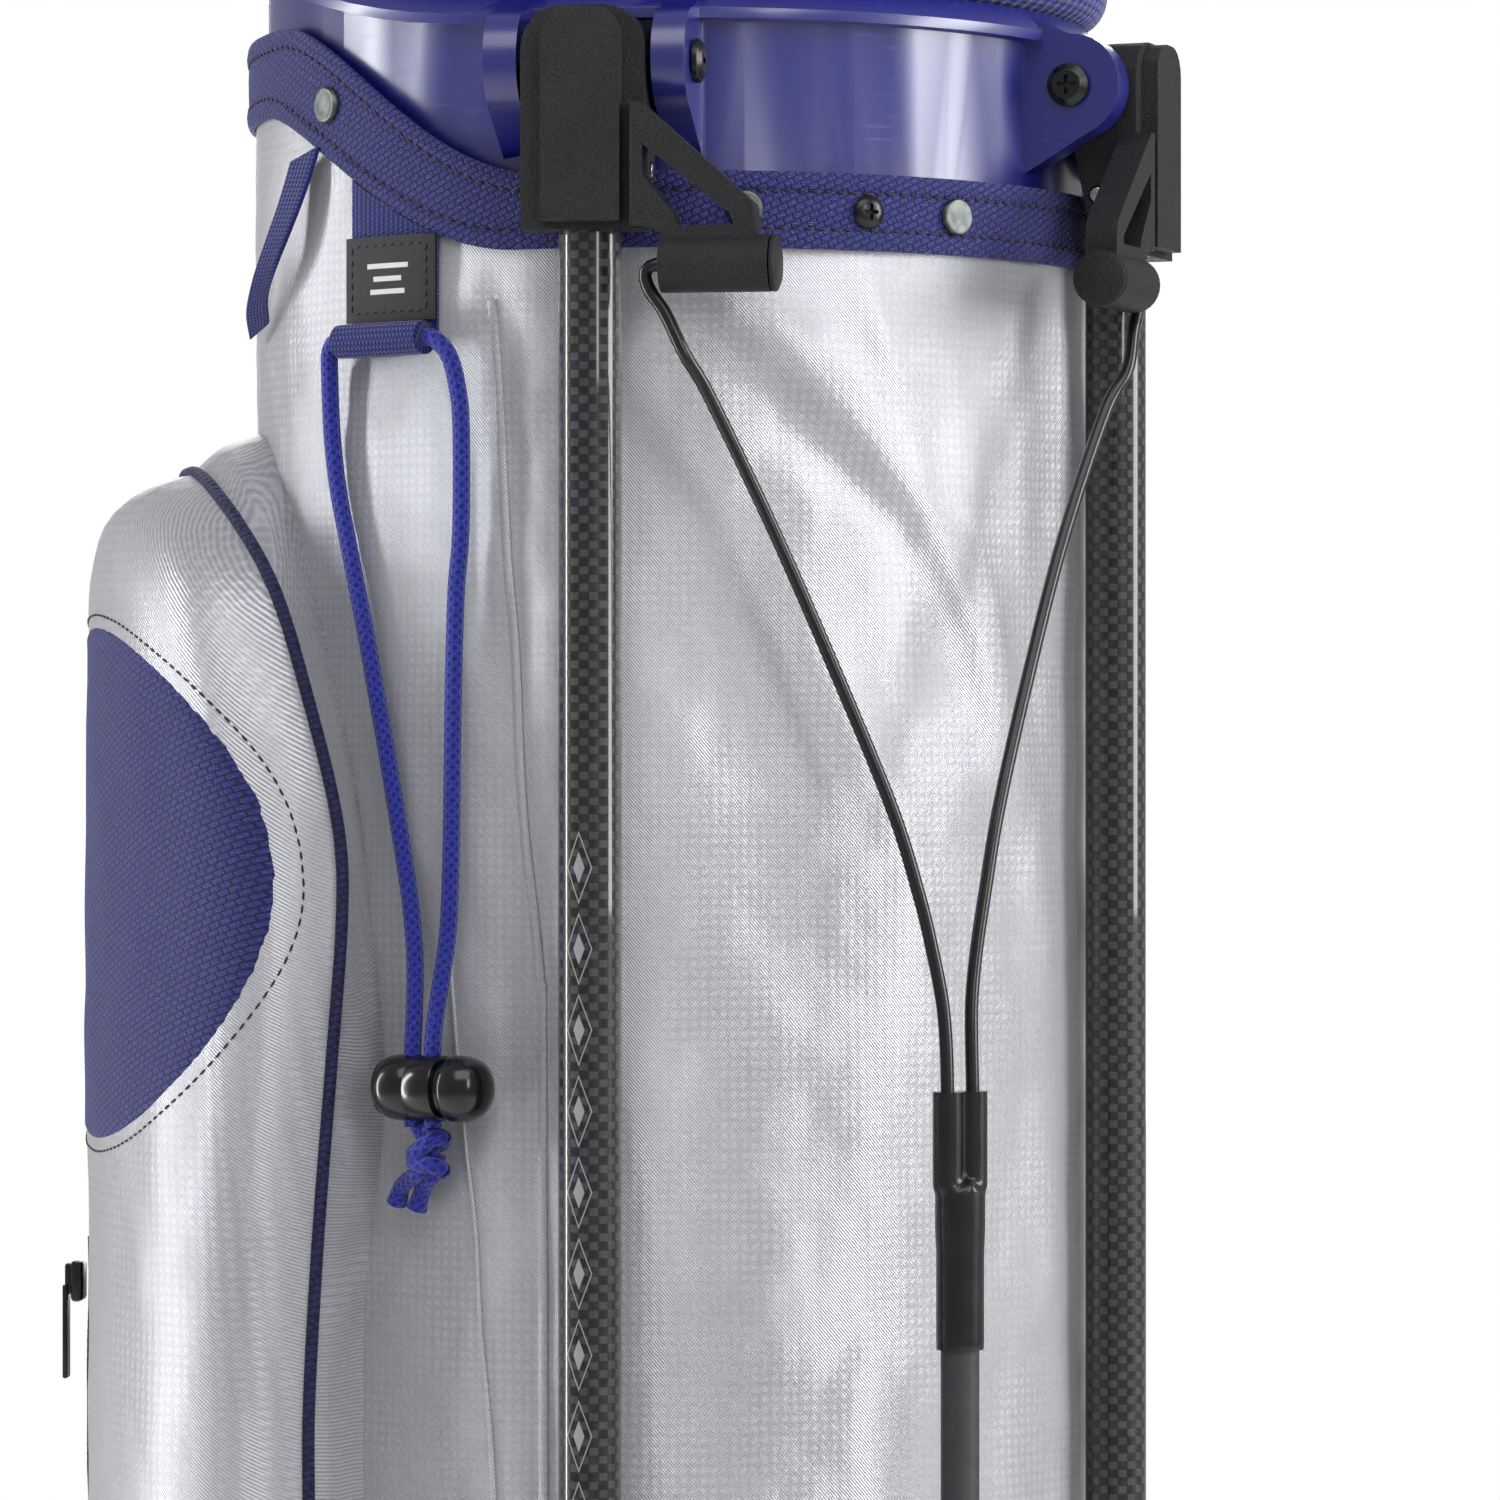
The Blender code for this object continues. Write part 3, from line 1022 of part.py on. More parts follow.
def make_cord_lock():
    """Barrel, spring-loaded plunger, spring and the knot below. The lock's frame: x along the plunger."""
    middle = around(LOCK_ANGLE, BODY_RADIUS + LOCK_STANDOFF, PIVOT_HEIGHT + LOCK_DROP)
    frame = empty("cord_lock_axis", middle, math.radians(LOCK_ANGLE))
    along_x = (0.0, math.pi / 2, 0.0)
    bore = LOCK_RADIUS - LOCK_WALL
    inner_end = LOCK_START + LOCK_BOTTOM_WALL
    barrel = [
        (0.0, LOCK_START), (0.0045, LOCK_START), (0.0066, LOCK_START + 0.0012),
        (LOCK_RADIUS, LOCK_START + 0.0036),
        (LOCK_RADIUS, LOCK_MOUTH - 0.001), (LOCK_RADIUS - 0.0004, LOCK_MOUTH), (bore, LOCK_MOUTH),
        (bore, inner_end), (0.0, inner_end),
    ]
    barrel_node = add("cord_lock_barrel", "gloss_black", turned(barrel, 20), frame, turn=along_x)
    stem = bore - RUNNING
    cords = [math.radians(angle - LOCK_ANGLE) * (BODY_RADIUS + LOCK_STANDOFF) for angle in LOCK_CORD_ANGLES]
    stem_end = cords[0] - LOCK_CORD_HOLE - PLUNGER_END_WALL
    head = LOCK_MOUTH + PLUNGER_TRAVEL + GAP
    plunger = [
        (0.0, PLUNGER_END), (0.0035, PLUNGER_END - 0.0003), (0.0062, PLUNGER_END - 0.0018),
        (0.0077, PLUNGER_END - 0.0045), (0.0079, head + 0.002), (0.0074, head), (stem, head),
        (stem, stem_end),
        (0.0, stem_end),
    ]
    plunger_node = add("cord_lock_plunger", "gloss_black", turned(plunger, 20), frame, turn=along_x)
    for number, x in enumerate(cords, start=1):
        hole = cylinder(LOCK_CORD_HOLE, -0.012, 0.012, "Z", (x, 0.0), 14)
        cut(barrel_node, tool(f"lock_hole_{number}", hole, frame))
    slot_start = cords[0] - LOCK_CORD_HOLE
    slot_end = cords[1] + LOCK_CORD_HOLE + PLUNGER_TRAVEL
    slot = block((slot_end - slot_start, 2 * LOCK_CORD_HOLE, 0.03), ((slot_end + slot_start) / 2, 0.0, 0.0))
    cut(plunger_node, tool("lock_slot", slot, frame))
    turns = 2.5
    length = stem_end - inner_end - 2 * SPRING_WIRE - 0.0006
    start = inner_end + SPRING_WIRE + 0.0003
    steps = 28
    coil = [Vector((start + length * i / steps, SPRING_RADIUS * math.cos(math.tau * turns * i / steps),
                    SPRING_RADIUS * math.sin(math.tau * turns * i / steps))) for i in range(steps + 1)]
    tube("cord_lock_spring", "steel", coil, SPRING_WIRE, 1, frame)
    make_knot()


def make_knot():
    """Overhand knot of both cord ends, with two short tails."""
    centre = around(-59.6, BODY_RADIUS + 0.0085, PIVOT_HEIGHT - 0.2582)
    bm = bmesh.new()
    shape = Matrix.Translation(centre) @ Matrix.Diagonal((0.0078, 0.0066, 0.0058, 1.0))
    bmesh.ops.create_uvsphere(bm, u_segments=12, v_segments=8, radius=1.0, matrix=shape)
    knot = add("drawcord_knot", "webbing_blue", bm)
    for name, angle, drop in (("left", -65.6, -0.2700), ("right", -62.6, -0.2716)):
        end = around(angle, BODY_RADIUS + 0.0050, PIVOT_HEIGHT + drop)
        way = end - centre
        turn = Vector((0, 0, 1)).rotation_difference(way).to_matrix().to_4x4()
        tail = bmesh.new()
        bmesh.ops.create_cone(
            tail, cap_ends=True, segments=10, radius1=CORD_RADIUS, radius2=CORD_RADIUS, depth=way.length,
            matrix=Matrix.Translation(centre + way / 2) @ turn,
        )
        join(knot, tool(f"knot_tail_{name}", tail))


HOLES = fastener_holes()
make_collar(HOLES)
make_divider()
make_cuff()
make_band_and_body(HOLES)
make_fasteners()
for leg_name, (leg_side, leg_axis) in LEGS.items():
    make_leg(leg_name, leg_side, leg_axis)
    make_wire(leg_name, leg_side, leg_axis)
make_sleeve_and_rod()
make_base()
make_pockets()
make_straps()
make_handle()
make_towel_loop()
make_cords()
make_cord_lock()
bpy.context.view_layer.update()
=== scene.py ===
import math

import bmesh
import bpy
from mathutils import Matrix, Vector, noise


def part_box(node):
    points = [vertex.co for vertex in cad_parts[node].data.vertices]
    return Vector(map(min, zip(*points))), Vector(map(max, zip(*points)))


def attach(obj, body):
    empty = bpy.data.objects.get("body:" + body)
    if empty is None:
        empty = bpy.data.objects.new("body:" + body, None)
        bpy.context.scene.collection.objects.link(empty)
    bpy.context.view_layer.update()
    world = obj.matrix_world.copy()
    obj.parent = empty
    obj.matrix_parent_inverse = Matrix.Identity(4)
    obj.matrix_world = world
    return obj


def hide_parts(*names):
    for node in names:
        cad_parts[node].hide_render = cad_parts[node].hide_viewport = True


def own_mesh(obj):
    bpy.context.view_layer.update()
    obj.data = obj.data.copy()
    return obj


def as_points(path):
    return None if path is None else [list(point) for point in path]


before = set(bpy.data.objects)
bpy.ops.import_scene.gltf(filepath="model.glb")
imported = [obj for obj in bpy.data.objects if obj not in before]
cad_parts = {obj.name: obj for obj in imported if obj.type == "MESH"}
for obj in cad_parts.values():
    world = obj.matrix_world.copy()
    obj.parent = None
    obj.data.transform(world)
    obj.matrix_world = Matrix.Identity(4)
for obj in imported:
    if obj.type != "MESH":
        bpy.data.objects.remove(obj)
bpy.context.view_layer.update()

# The golf stand bag stands on the floor with its axis on Z and its folding legs towards -Y.
# Metres. An angle round the bag is measured from -Y towards +X, in degrees.


# ---------------------------------------------------------------- studio
# Pale floor, a white surround, one tall strip lamp on the left that draws a line on the carbon tubes,
# and broad soft panels in front and round the bag. The camera is level with the cord lock, in front of the
# left leg.
CAMERA_ANGLE = -29.4
CAMERA_DISTANCE = 1.5
CAMERA_HEIGHT = 0.668
CAMERA_RIGHT = 0.0183
CAMERA_LENS = 141.4
FLOOR_RADIUS = 2.6
WORLD_LIGHT = 0.34
FLOOR_GLOW = 0.55


def around(angle, radius, height):
    """The point at an angle round the bag."""
    a = math.radians(angle)
    return Vector((radius * math.sin(a), -radius * math.cos(a), height))


def soft_panel(name, angle, distance, height, size, power, aim=0.62, tint=(1.0, 1.0, 1.0)):
    """A rectangular lamp at an angle round the bag, facing its axis."""
    lamp = bpy.data.lights.new(name, "AREA")
    lamp.shape = "RECTANGLE"
    lamp.size, lamp.size_y = size
    lamp.energy = power
    lamp.color = tint
    obj = bpy.data.objects.new(name, lamp)
    obj.location = around(angle, distance, height)
    obj.rotation_euler = (Vector((0, 0, aim)) - obj.location).to_track_quat("-Z", "Y").to_euler()
    bpy.context.scene.collection.objects.link(obj)


lens = bpy.data.cameras.new("camera")
lens.lens = CAMERA_LENS
lens.sensor_width = 36.0
camera = bpy.data.objects.new("camera", lens)
camera.location = around(CAMERA_ANGLE, CAMERA_DISTANCE, CAMERA_HEIGHT)
camera.location += around(CAMERA_ANGLE + 90, CAMERA_RIGHT, 0)
camera.rotation_euler = (math.radians(90), 0, math.radians(CAMERA_ANGLE))
bpy.context.scene.collection.objects.link(camera)
bpy.context.scene.camera = camera
bpy.context.scene.view_settings.view_transform = "Standard"

world = bpy.data.worlds.new("studio")
world.use_nodes = True
lit = world.node_tree.nodes["Background"]
lit.inputs["Color"].default_value = (1.0, 1.0, 1.0, 1.0)
lit.inputs["Strength"].default_value = WORLD_LIGHT
seen = world.node_tree.nodes.new("ShaderNodeBackground")
seen.inputs["Color"].default_value = (1.0, 1.0, 1.0, 1.0)
either = world.node_tree.nodes.new("ShaderNodeMixShader")
ray = world.node_tree.nodes.new("ShaderNodeLightPath")
for out, into in (
    (ray.outputs["Is Camera Ray"], either.inputs[0]),
    (lit.outputs[0], either.inputs[1]),
    (seen.outputs[0], either.inputs[2]),
    (either.outputs[0], world.node_tree.nodes["World Output"].inputs[0]),
):
    world.node_tree.links.new(out, into)
bpy.context.scene.world = world

soft_panel("strip_left", -118, 1.5, 0.75, (0.16, 1.7), 19)
soft_panel("panel_front", -2, 1.9, 1.30, (0.30, 0.9), 7)
soft_panel("panel_right", 48, 1.6, 1.15, (0.55, 1.2), 23)
soft_panel("panel_top", -30, 1.1, 2.0, (1.6, 1.0), 12)
soft_panel("panel_back", 150, 2.0, 1.2, (1.2, 1.6), 18)

ground = bmesh.new()
bmesh.ops.create_circle(ground, cap_ends=True, segments=96, radius=FLOOR_RADIUS)
floor_mesh = bpy.data.meshes.new("floor")
ground.to_mesh(floor_mesh)
ground.free()
floor = bpy.data.objects.new("floor", floor_mesh)
bpy.context.scene.collection.objects.link(floor)
pale_floor = bpy.data.materials.new("pale_floor")
pale_floor.use_nodes = True
pale_shader = pale_floor.node_tree.nodes["Principled BSDF"]
pale_shader.inputs["Base Color"].default_value = (0.86, 0.86, 0.86, 1.0)
pale_shader.inputs["Roughness"].default_value = 0.85
pale_shader.inputs["Emission Color"].default_value = (1.0, 1.0, 1.0, 1.0)
pale_shader.inputs["Emission Strength"].default_value = 0.0
glow = pale_floor.node_tree.nodes.new("ShaderNodeMath")
glow.operation = "MULTIPLY"
glow.inputs[1].default_value = FLOOR_GLOW
seen_by = pale_floor.node_tree.nodes.new("ShaderNodeLightPath")
pale_floor.node_tree.links.new(seen_by.outputs["Is Camera Ray"], glow.inputs[0])
pale_floor.node_tree.links.new(glow.outputs[0], pale_shader.inputs["Emission Strength"])
floor_mesh.materials.append(pale_floor)


# ---------------------------------------------------------------- drawcord and cord lock
# Royal-blue braided cord, 4.2 mm. It leaves both ends of the rolled webbing, and its two branches run
# down through the cord lock, two glossy mouldings with a spring, and end in one overhand knot.
CORD_RADIUS = 0.0021
BODY_RADIUS = 0.107
PIVOT_HEIGHT = 0.830
CORD_BLUE = (0.012, 0.022, 0.36, 1.0)
CORD_SHADE = (0.004, 0.006, 0.12, 1.0)
CORD_FLECK = (0.10, 0.15, 0.62, 1.0)
# Angle round the bag, standoff from the body, drop from the leg pivot
CORD_LEFT = (
    (-75.05, 0.00585, -0.0636), (-76.1, 0.0061, -0.0639), (-77.0, 0.0058, -0.0662), (-77.4, 0.0052, -0.0710),
    (-77.3, 0.0047, -0.0840), (-76.8, 0.0045, -0.0928), (-75.9, 0.0044, -0.1014), (-74.2, 0.0044, -0.1126),
    (-72.5, 0.0044, -0.1242), (-70.9, 0.0044, -0.1355), (-69.2, 0.0044, -0.1490), (-67.5, 0.0045, -0.1625),
    (-66.1, 0.0046, -0.1747), (-64.7, 0.0048, -0.1869), (-63.4, 0.0052, -0.1990), (-62.3, 0.0064, -0.2120),
    (-61.4, 0.0092, -0.2245), (-61.1, 0.0107, -0.2325), (-61.1, 0.0107, -0.2422), (-61.1, 0.0107, -0.2515),
)
CORD_RIGHT = (
    (-60.95, 0.00585, -0.0636), (-59.9, 0.0061, -0.0638), (-58.6, 0.0060, -0.0655), (-57.4, 0.0056, -0.0692),
    (-56.6, 0.0050, -0.0762), (-56.2, 0.0047, -0.0855), (-56.3, 0.0045, -0.1097), (-57.0, 0.0044, -0.1247),
    (-57.4, 0.0044, -0.1490), (-57.6, 0.0044, -0.1746), (-57.7, 0.0046, -0.1898), (-57.9, 0.0052, -0.2048),
    (-58.1, 0.0074, -0.2160), (-58.3, 0.0096, -0.2255), (-58.4, 0.0105, -0.2325), (-58.4, 0.0105, -0.2422),
    (-58.4, 0.0105, -0.2515),
)


class Signal:
    """A socket in a material. Arithmetic on it adds Math nodes."""

    def __init__(self, socket):
        self.socket = socket

    def node(self, kind, settings, values, output=0):
        """Any other node of the same material: its settings first, then its sockets."""
        tree = self.socket.id_data
        made = tree.nodes.new(kind)
        for name, value in settings.items():
            if name == "stops":
                ramp = made.color_ramp
                for place, level in value[2:]:
                    ramp.elements.new(place)
                for element, (place, level) in zip(ramp.elements, sorted(value)):
                    element.position = place
                    element.color = (level, level, level, 1.0)
            else:
                setattr(made, name, value)
        for name, value in values.items():
            if isinstance(value, Signal):
                tree.links.new(value.socket, made.inputs[name])
            else:
                made.inputs[name].default_value = value
        return Signal(made.outputs[output])

    def math(self, operation, *others):
        """A Math node whose first value is this signal."""
        return self.node("ShaderNodeMath", {"operation": operation}, dict(enumerate((self, *others))))

    def parts(self):
        """X, Y and Z of a vector."""
        first = self.node("ShaderNodeSeparateXYZ", {}, {0: self})
        return [Signal(out) for out in first.socket.node.outputs]

    def mix(self, low, high):
        """A colour between two, this signal being the share of the second."""
        return self.node("ShaderNodeMix", {"data_type": "RGBA"}, {0: self, 6: low, 7: high}, 2)

    def noise(self, scale, detail=2.0, rough=0.5):
        """Even noise on this vector, about 0.5."""
        sockets = {"Vector": self, "Scale": scale, "Detail": detail, "Roughness": rough}
        return self.node("ShaderNodeTexNoise", {}, sockets)

    def streaks(self, scales, detail=1.0):
        """Noise on this vector with its own scale along each axis."""
        return self.node("ShaderNodeMapping", {}, {0: self, 3: scales}).noise(1.0, detail)

    def between(self, low, high):
        """0 below low, 1 above high, and a smooth rise between."""
        sockets = {0: self, 1: low, 2: high, 3: 0.0, 4: 1.0}
        return self.node("ShaderNodeMapRange", {"interpolation_type": "SMOOTHSTEP"}, sockets)

    def wave(self):
        """A sine wave of this many turns, from 0 to 1."""
        return (self * math.tau).math("SINE") * 0.5 + 0.5

    def from_middle(self):
        """Distance from the middle of each repeat, 0 to 0.5."""
        return (self.math("FRACT") - 0.5).math("ABSOLUTE")

    def __add__(self, other):
        return self.math("ADD", other)

    def __sub__(self, other):
        return self.math("SUBTRACT", other)

    def __rsub__(self, other):
        return self.node("ShaderNodeMath", {"operation": "SUBTRACT"}, {0: other, 1: self})

    def __mul__(self, other):
        return self.math("MULTIPLY", other)

    def __truediv__(self, other):
        return self.math("DIVIDE", other)

    __radd__ = __add__
    __rmul__ = __mul__


def new_finish(name, coordinates="Object", **fixed):
    """A material with one Principled shader, its fixed values set, and the signal its pattern starts from."""
    material = bpy.data.materials.new(name)
    material.use_nodes = True
    shader = material.node_tree.nodes["Principled BSDF"]
    for socket, value in fixed.items():
        shader.inputs[socket.replace("_", " ")].default_value = value
    place = material.node_tree.nodes.new("ShaderNodeTexCoord").outputs[coordinates]
    return material, Signal(place)


def dress(material, colour=None, roughness=None, height=None, depth=0.0001, **links):
    """Links a pattern to a material's shader: colour, roughness, and height as bump of a depth in metres."""
    shader = material.node_tree.nodes["Principled BSDF"]
    found = {"Base Color": colour, "Roughness": roughness}
    found.update({name.replace("_", " "): value for name, value in links.items()})
    if height is not None:
        sockets = {"Strength": 1.0, "Distance": depth, "Height": height}
        found["Normal"] = height.node("ShaderNodeBump", {}, sockets)
    for name, value in found.items():
        if value is not None:
            material.node_tree.links.new(value.socket, shader.inputs[name])
    return material


def surface(across, along, place, size=(1.0, 1.0), closed=0.0000005):
    """A bmesh from a grid: place(u, v) puts its points, u and v from 0 to 1, and its UV map is in metres."""
    bm = bmesh.new()
    bmesh.ops.create_grid(bm, x_segments=across, y_segments=along, size=0.5)
    uv = bm.loops.layers.uv.new("UVMap")
    for face in bm.faces:
        for loop in face.loops:
            loop[uv].uv = ((loop.vert.co.x + 0.5) * size[0], (loop.vert.co.y + 0.5) * size[1])
    for vert in bm.verts:
        vert.co = place(vert.co.x + 0.5, vert.co.y + 0.5)
    if closed:
        bmesh.ops.remove_doubles(bm, verts=bm.verts[:], dist=closed)
    return bm


def capped(bm):
    """Closes a shape's open ends."""
    bmesh.ops.holes_fill(bm, edges=[e for e in bm.edges if e.is_boundary])
    return bm


def piece(name, bm, material, body, slot, *nodes, crease=35, outwards=True):
    """A finished piece: mesh, material, the body it rides on, its slot, which is not used, and the CAD nodes
    it stands for.
    """
    if outwards:
        bmesh.ops.recalc_face_normals(bm, faces=bm.faces[:])
    mesh = bpy.data.meshes.new(name)
    bm.to_mesh(mesh)
    bm.free()
    mesh.shade_smooth()
    mesh.set_sharp_from_angle(angle=math.radians(crease))
    obj = bpy.data.objects.new(name, mesh)
    bpy.context.scene.collection.objects.link(obj)
    mesh.materials.append(material)
    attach(obj, body)
    if nodes:
        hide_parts(*nodes)
    return obj


def smooth_route(points, spacing):
    """Points read at an even spacing from a smooth curve through the route's points."""
    ends = [2 * points[0] - points[1], *points, 2 * points[-1] - points[-2]]
    fine = []
    for before, start, end, after in zip(ends, ends[1:], ends[2:], ends[3:]):
        for i in range(16):
            t = i / 16
            fine.append(
                0.5 * (
                    2 * start + (end - before) * t + (2 * before - 5 * start + 4 * end - after) * t**2
                    + (3 * start - before - 3 * end + after) * t**3
                )
            )
    fine.append(points[-1])
    walked = [0.0]
    for a, b in zip(fine, fine[1:]):
        walked.append(walked[-1] + (b - a).length)
    count = max(2, round(walked[-1] / spacing))
    route, at = [], 0
    for i in range(count + 1):
        want = walked[-1] * i / count
        while at < len(fine) - 2 and walked[at + 1] < want:
            at += 1
        route.append(fine[at].lerp(fine[at + 1], (want - walked[at]) / (walked[at + 1] - walked[at])))
    return route


def length_of(route):
    return sum((b - a).length for a, b in zip(route, route[1:]))


def tube(route, radius, segments=20, across=None, ends=True):
    """A round tube along a route. radius may be a function of the share of the way."""
    ways = [(b - a).normalized() for a, b in zip(route, route[1:])]
    ways = [ways[0]] + [(a + b).normalized() for a, b in zip(ways, ways[1:])] + [ways[-1]]
    side = across or ways[0].orthogonal()
    frames = []
    for way in ways:
        side = (side - way * side.dot(way)).normalized()
        frames.append((side, way.cross(side)))
    last = len(route) - 1
    size = radius if callable(radius) else lambda share: radius

    def place(u, v):
        i = round(v * last)
        turn = math.tau * u
        one, two = frames[i]
        return route[i] + (one * math.cos(turn) + two * math.sin(turn)) * size(v)

    bm = surface(segments, last, place, (math.tau * size(0.5), length_of(route)))
    return capped(bm) if ends else bm


def braid_finish():
    """Cord braided from many fine yarns: slanting picks both ways, with lighter flecks."""
    material, place = new_finish("blue_braid", "UV", Sheen_Weight=0.25, Sheen_Roughness=0.5,
        Specular_IOR_Level=0.3)
    u, v, _ = place.parts()
    turns = u / (math.tau * CORD_RADIUS) * 6.0
    rise = v / 0.0026
    one = (turns + rise).wave()
    two = (turns - rise).wave()
    picks = one.math("MAXIMUM", two)
    yarn = ((turns - rise) * 3.0).wave()
    relief = picks * 0.8 + yarn * 0.25
    fleck = place.noise(2600.0, 1.0)
    colour = relief.between(0.35, 0.95).mix(CORD_SHADE, CORD_BLUE)
    colour = (fleck.between(0.58, 0.75) * picks.between(0.5, 0.9)).mix(colour, CORD_FLECK)
    return dress(material, colour, fleck * 0.2 + 0.55, relief, 0.0004)


blue_braid = braid_finish()


def cord_points(route):
    return [around(angle, BODY_RADIUS + out, PIVOT_HEIGHT + drop) for angle, out, drop in route]


def corded(name, points, node):
    """One branch of the drawcord, as long as its route."""
    route = [points[0], *smooth_route(points[1:], 0.0012)]
    obj = piece(name, tube(route, CORD_RADIUS, 16), blue_braid, "bag", "webbing_blue", node, crease=60)
    return obj, route


def knotted():
    """Overhand knot: two wraps about the pair of cords, and two tails that splay downwards."""
    heart = around(-59.6, 0.1155, 0.5718)
    out = around(-59.6, 1.0, 0.0)
    side = around(30.4, 1.0, 0.0)
    up = Vector((0, 0, 1))
    shapes = []
    for tilt, rise, reach in ((0.55, 0.0022, 0.0036), (-0.35, -0.0022, 0.0034)):
        ring = []
        for i in range(29):
            turn = math.tau * i / 28
            ring.append(
                heart + side * reach * 1.10 * math.cos(turn) + out * reach * 0.72 * math.sin(turn)
                + up * (rise + reach * tilt * math.cos(turn) + 0.0006 * math.sin(2 * turn))
            )
        shapes.append(tube(ring, CORD_RADIUS * 0.98, 14, up, ends=False))
    tails = (
        (heart + side * 0.0006 + out * 0.001, heart - side * 0.002 - up * 0.004 + out * 0.0012,
         around(-64.2, 0.1132, 0.5640), around(-65.6, 0.1120, 0.5598)),
        (heart + side * 0.0020 - out * 0.001, heart + side * 0.0006 - up * 0.0045 - out * 0.001,
         around(-61.2, 0.1127, 0.5640), around(-62.5, 0.1120, 0.5586)),
        (around(-60.6, 0.1172, 0.5790), heart + up * 0.002 + side * 0.0006, heart - up * 0.002),
        (around(-58.8, 0.1170, 0.5790), heart + up * 0.002 - side * 0.0006, heart - up * 0.002),
    )

    def flared(share):
        return CORD_RADIUS * (1.0 + 0.22 * max(0.0, share - 0.8) / 0.2)

    for number, tail in enumerate(tails):
        route = smooth_route(list(tail), 0.0008)
        shapes.append(tube(route, flared if number < 2 else CORD_RADIUS, 14))
    whole = bmesh.new()
    uv = whole.loops.layers.uv.new("UVMap")
    for shape in shapes:
        mesh = bpy.data.meshes.new("part_of_knot")
        shape.to_mesh(mesh)
        shape.free()
        whole.from_mesh(mesh)
        bpy.data.meshes.remove(mesh)
    return piece("cord_knot", whole, blue_braid, "bag", "webbing_blue", "drawcord_knot", crease=60)


left_points, right_points = cord_points(CORD_LEFT), cord_points(CORD_RIGHT)
left_cord, left_route = corded("drawcord_left_branch", left_points, "drawcord_left")
right_cord, right_route = corded("drawcord_right_branch", right_points, "drawcord_right")
knot = knotted()

LOCK_ANGLE = -57.0
LOCK_STANDOFF = 0.0105
LOCK_HEIGHT = PIVOT_HEIGHT - 0.2422
lock_turn = (
    Matrix.Translation(around(LOCK_ANGLE, BODY_RADIUS + LOCK_STANDOFF, LOCK_HEIGHT))
    @ Matrix.Rotation(math.radians(LOCK_ANGLE), 4, "Z") @ Matrix.Rotation(math.pi / 2, 4, "Y")
)
gloss_black, gloss_place = new_finish(
    "gloss_black_acetal", Base_Color=(0.004, 0.004, 0.005, 1), Coat_Weight=0.25, Coat_Roughness=0.06,
    Specular_IOR_Level=0.45,
)
dress(gloss_black, None, gloss_place.noise(240.0) * 0.15 + 0.14, gloss_place.noise(90.0), 0.00006)


def turned(profile, steps=48):
    """A closed shape turned about Z from points (radius, height)."""
    bm = bmesh.new()
    verts = [bm.verts.new((radius, 0.0, height)) for radius, height in profile]
    edges = [bm.edges.new(pair) for pair in zip(verts, verts[1:])]
    bmesh.ops.spin(bm, geom=verts + edges, cent=(0, 0, 0), axis=(0, 0, 1), angle=math.tau, steps=steps,
        use_merge=True)
    bmesh.ops.remove_doubles(bm, verts=bm.verts[:], dist=0.00001)
    return capped(bm)


def metal_finish(name, colour, roughness, worn):
    """Bare or plated metal with fine scratches and a little tarnish."""
    material, place = new_finish(name, Metallic=1.0)
    grime = place.noise(420.0, 3.0)
    scratch = place.streaks((300.0, 300.0, 4000.0))
    tone = grime.between(0.35, 0.7).mix(worn, colour)
    return dress(material, tone, grime * 0.2 + roughness, scratch * 0.4 + grime, 0.00003)


barrel_profile = [(0.0, -0.0175), (0.0028, -0.0174), (0.0048, -0.01695), (0.0062, -0.0160), (0.0072, -0.0147),
                  (0.0077, -0.0132), (0.0079, -0.0115), (0.0079, -0.0072), (0.00775, -0.0070),
                  (0.0079, -0.0068),
                  (0.0079, -0.0004), (0.0077, 0.0003), (0.0072, 0.0005), (0.0068, 0.0004), (0.0067, -0.0010),
                  (0.0066, -0.0160), (0.0, -0.0161)]
plunger_profile = [(0.0, 0.0125), (0.0020, 0.01242), (0.0038, 0.0120), (0.0055, 0.0111), (0.0067, 0.0098),
                   (0.0075, 0.0081), (0.0079, 0.0060), (0.0079, 0.0034), (0.0077, 0.0026), (0.0072, 0.0023),
                   (0.0065, 0.0023), (0.0065, -0.0115), (0.0, -0.0115)]
for lock_name, profile, lock_body in (("barrel", barrel_profile, "bag"),
    ("plunger", plunger_profile, "plunger")):
    lock_bm = turned(profile)
    bmesh.ops.transform(lock_bm, matrix=lock_turn, verts=lock_bm.verts[:])
    piece(f"lock_{lock_name}", lock_bm, gloss_black, lock_body, "gloss_black", f"cord_lock_{lock_name}",
            crease=50)
steel_finish = metal_finish("polished_steel", (0.52, 0.52, 0.53, 1.0), 0.14, (0.30, 0.30, 0.31, 1.0))
SPRING_START, SPRING_LENGTH, SPRING_TURNS = -0.01535, 0.00259, 2.5
SPRING_RADIUS, SPRING_WIRE = 0.0031, 0.00042
coil_route = []
for i in range(71):
    turn = math.tau * SPRING_TURNS * i / 70
    rise = SPRING_START + SPRING_LENGTH * i / 70
    coil_route.append(lock_turn @ Vector((SPRING_RADIUS * math.cos(turn), SPRING_RADIUS * math.sin(turn),
        rise)))
lock_spring = piece("lock_spring", tube(coil_route, SPRING_WIRE, 10), steel_finish, "bag", "steel",
    "cord_lock_spring")
tuple(around(LOCK_ANGLE + 90, 1.0, 0.0))
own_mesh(lock_spring)
round(length_of(left_route), 3)
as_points(left_route)
round(length_of(right_route), 3)
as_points(right_route)


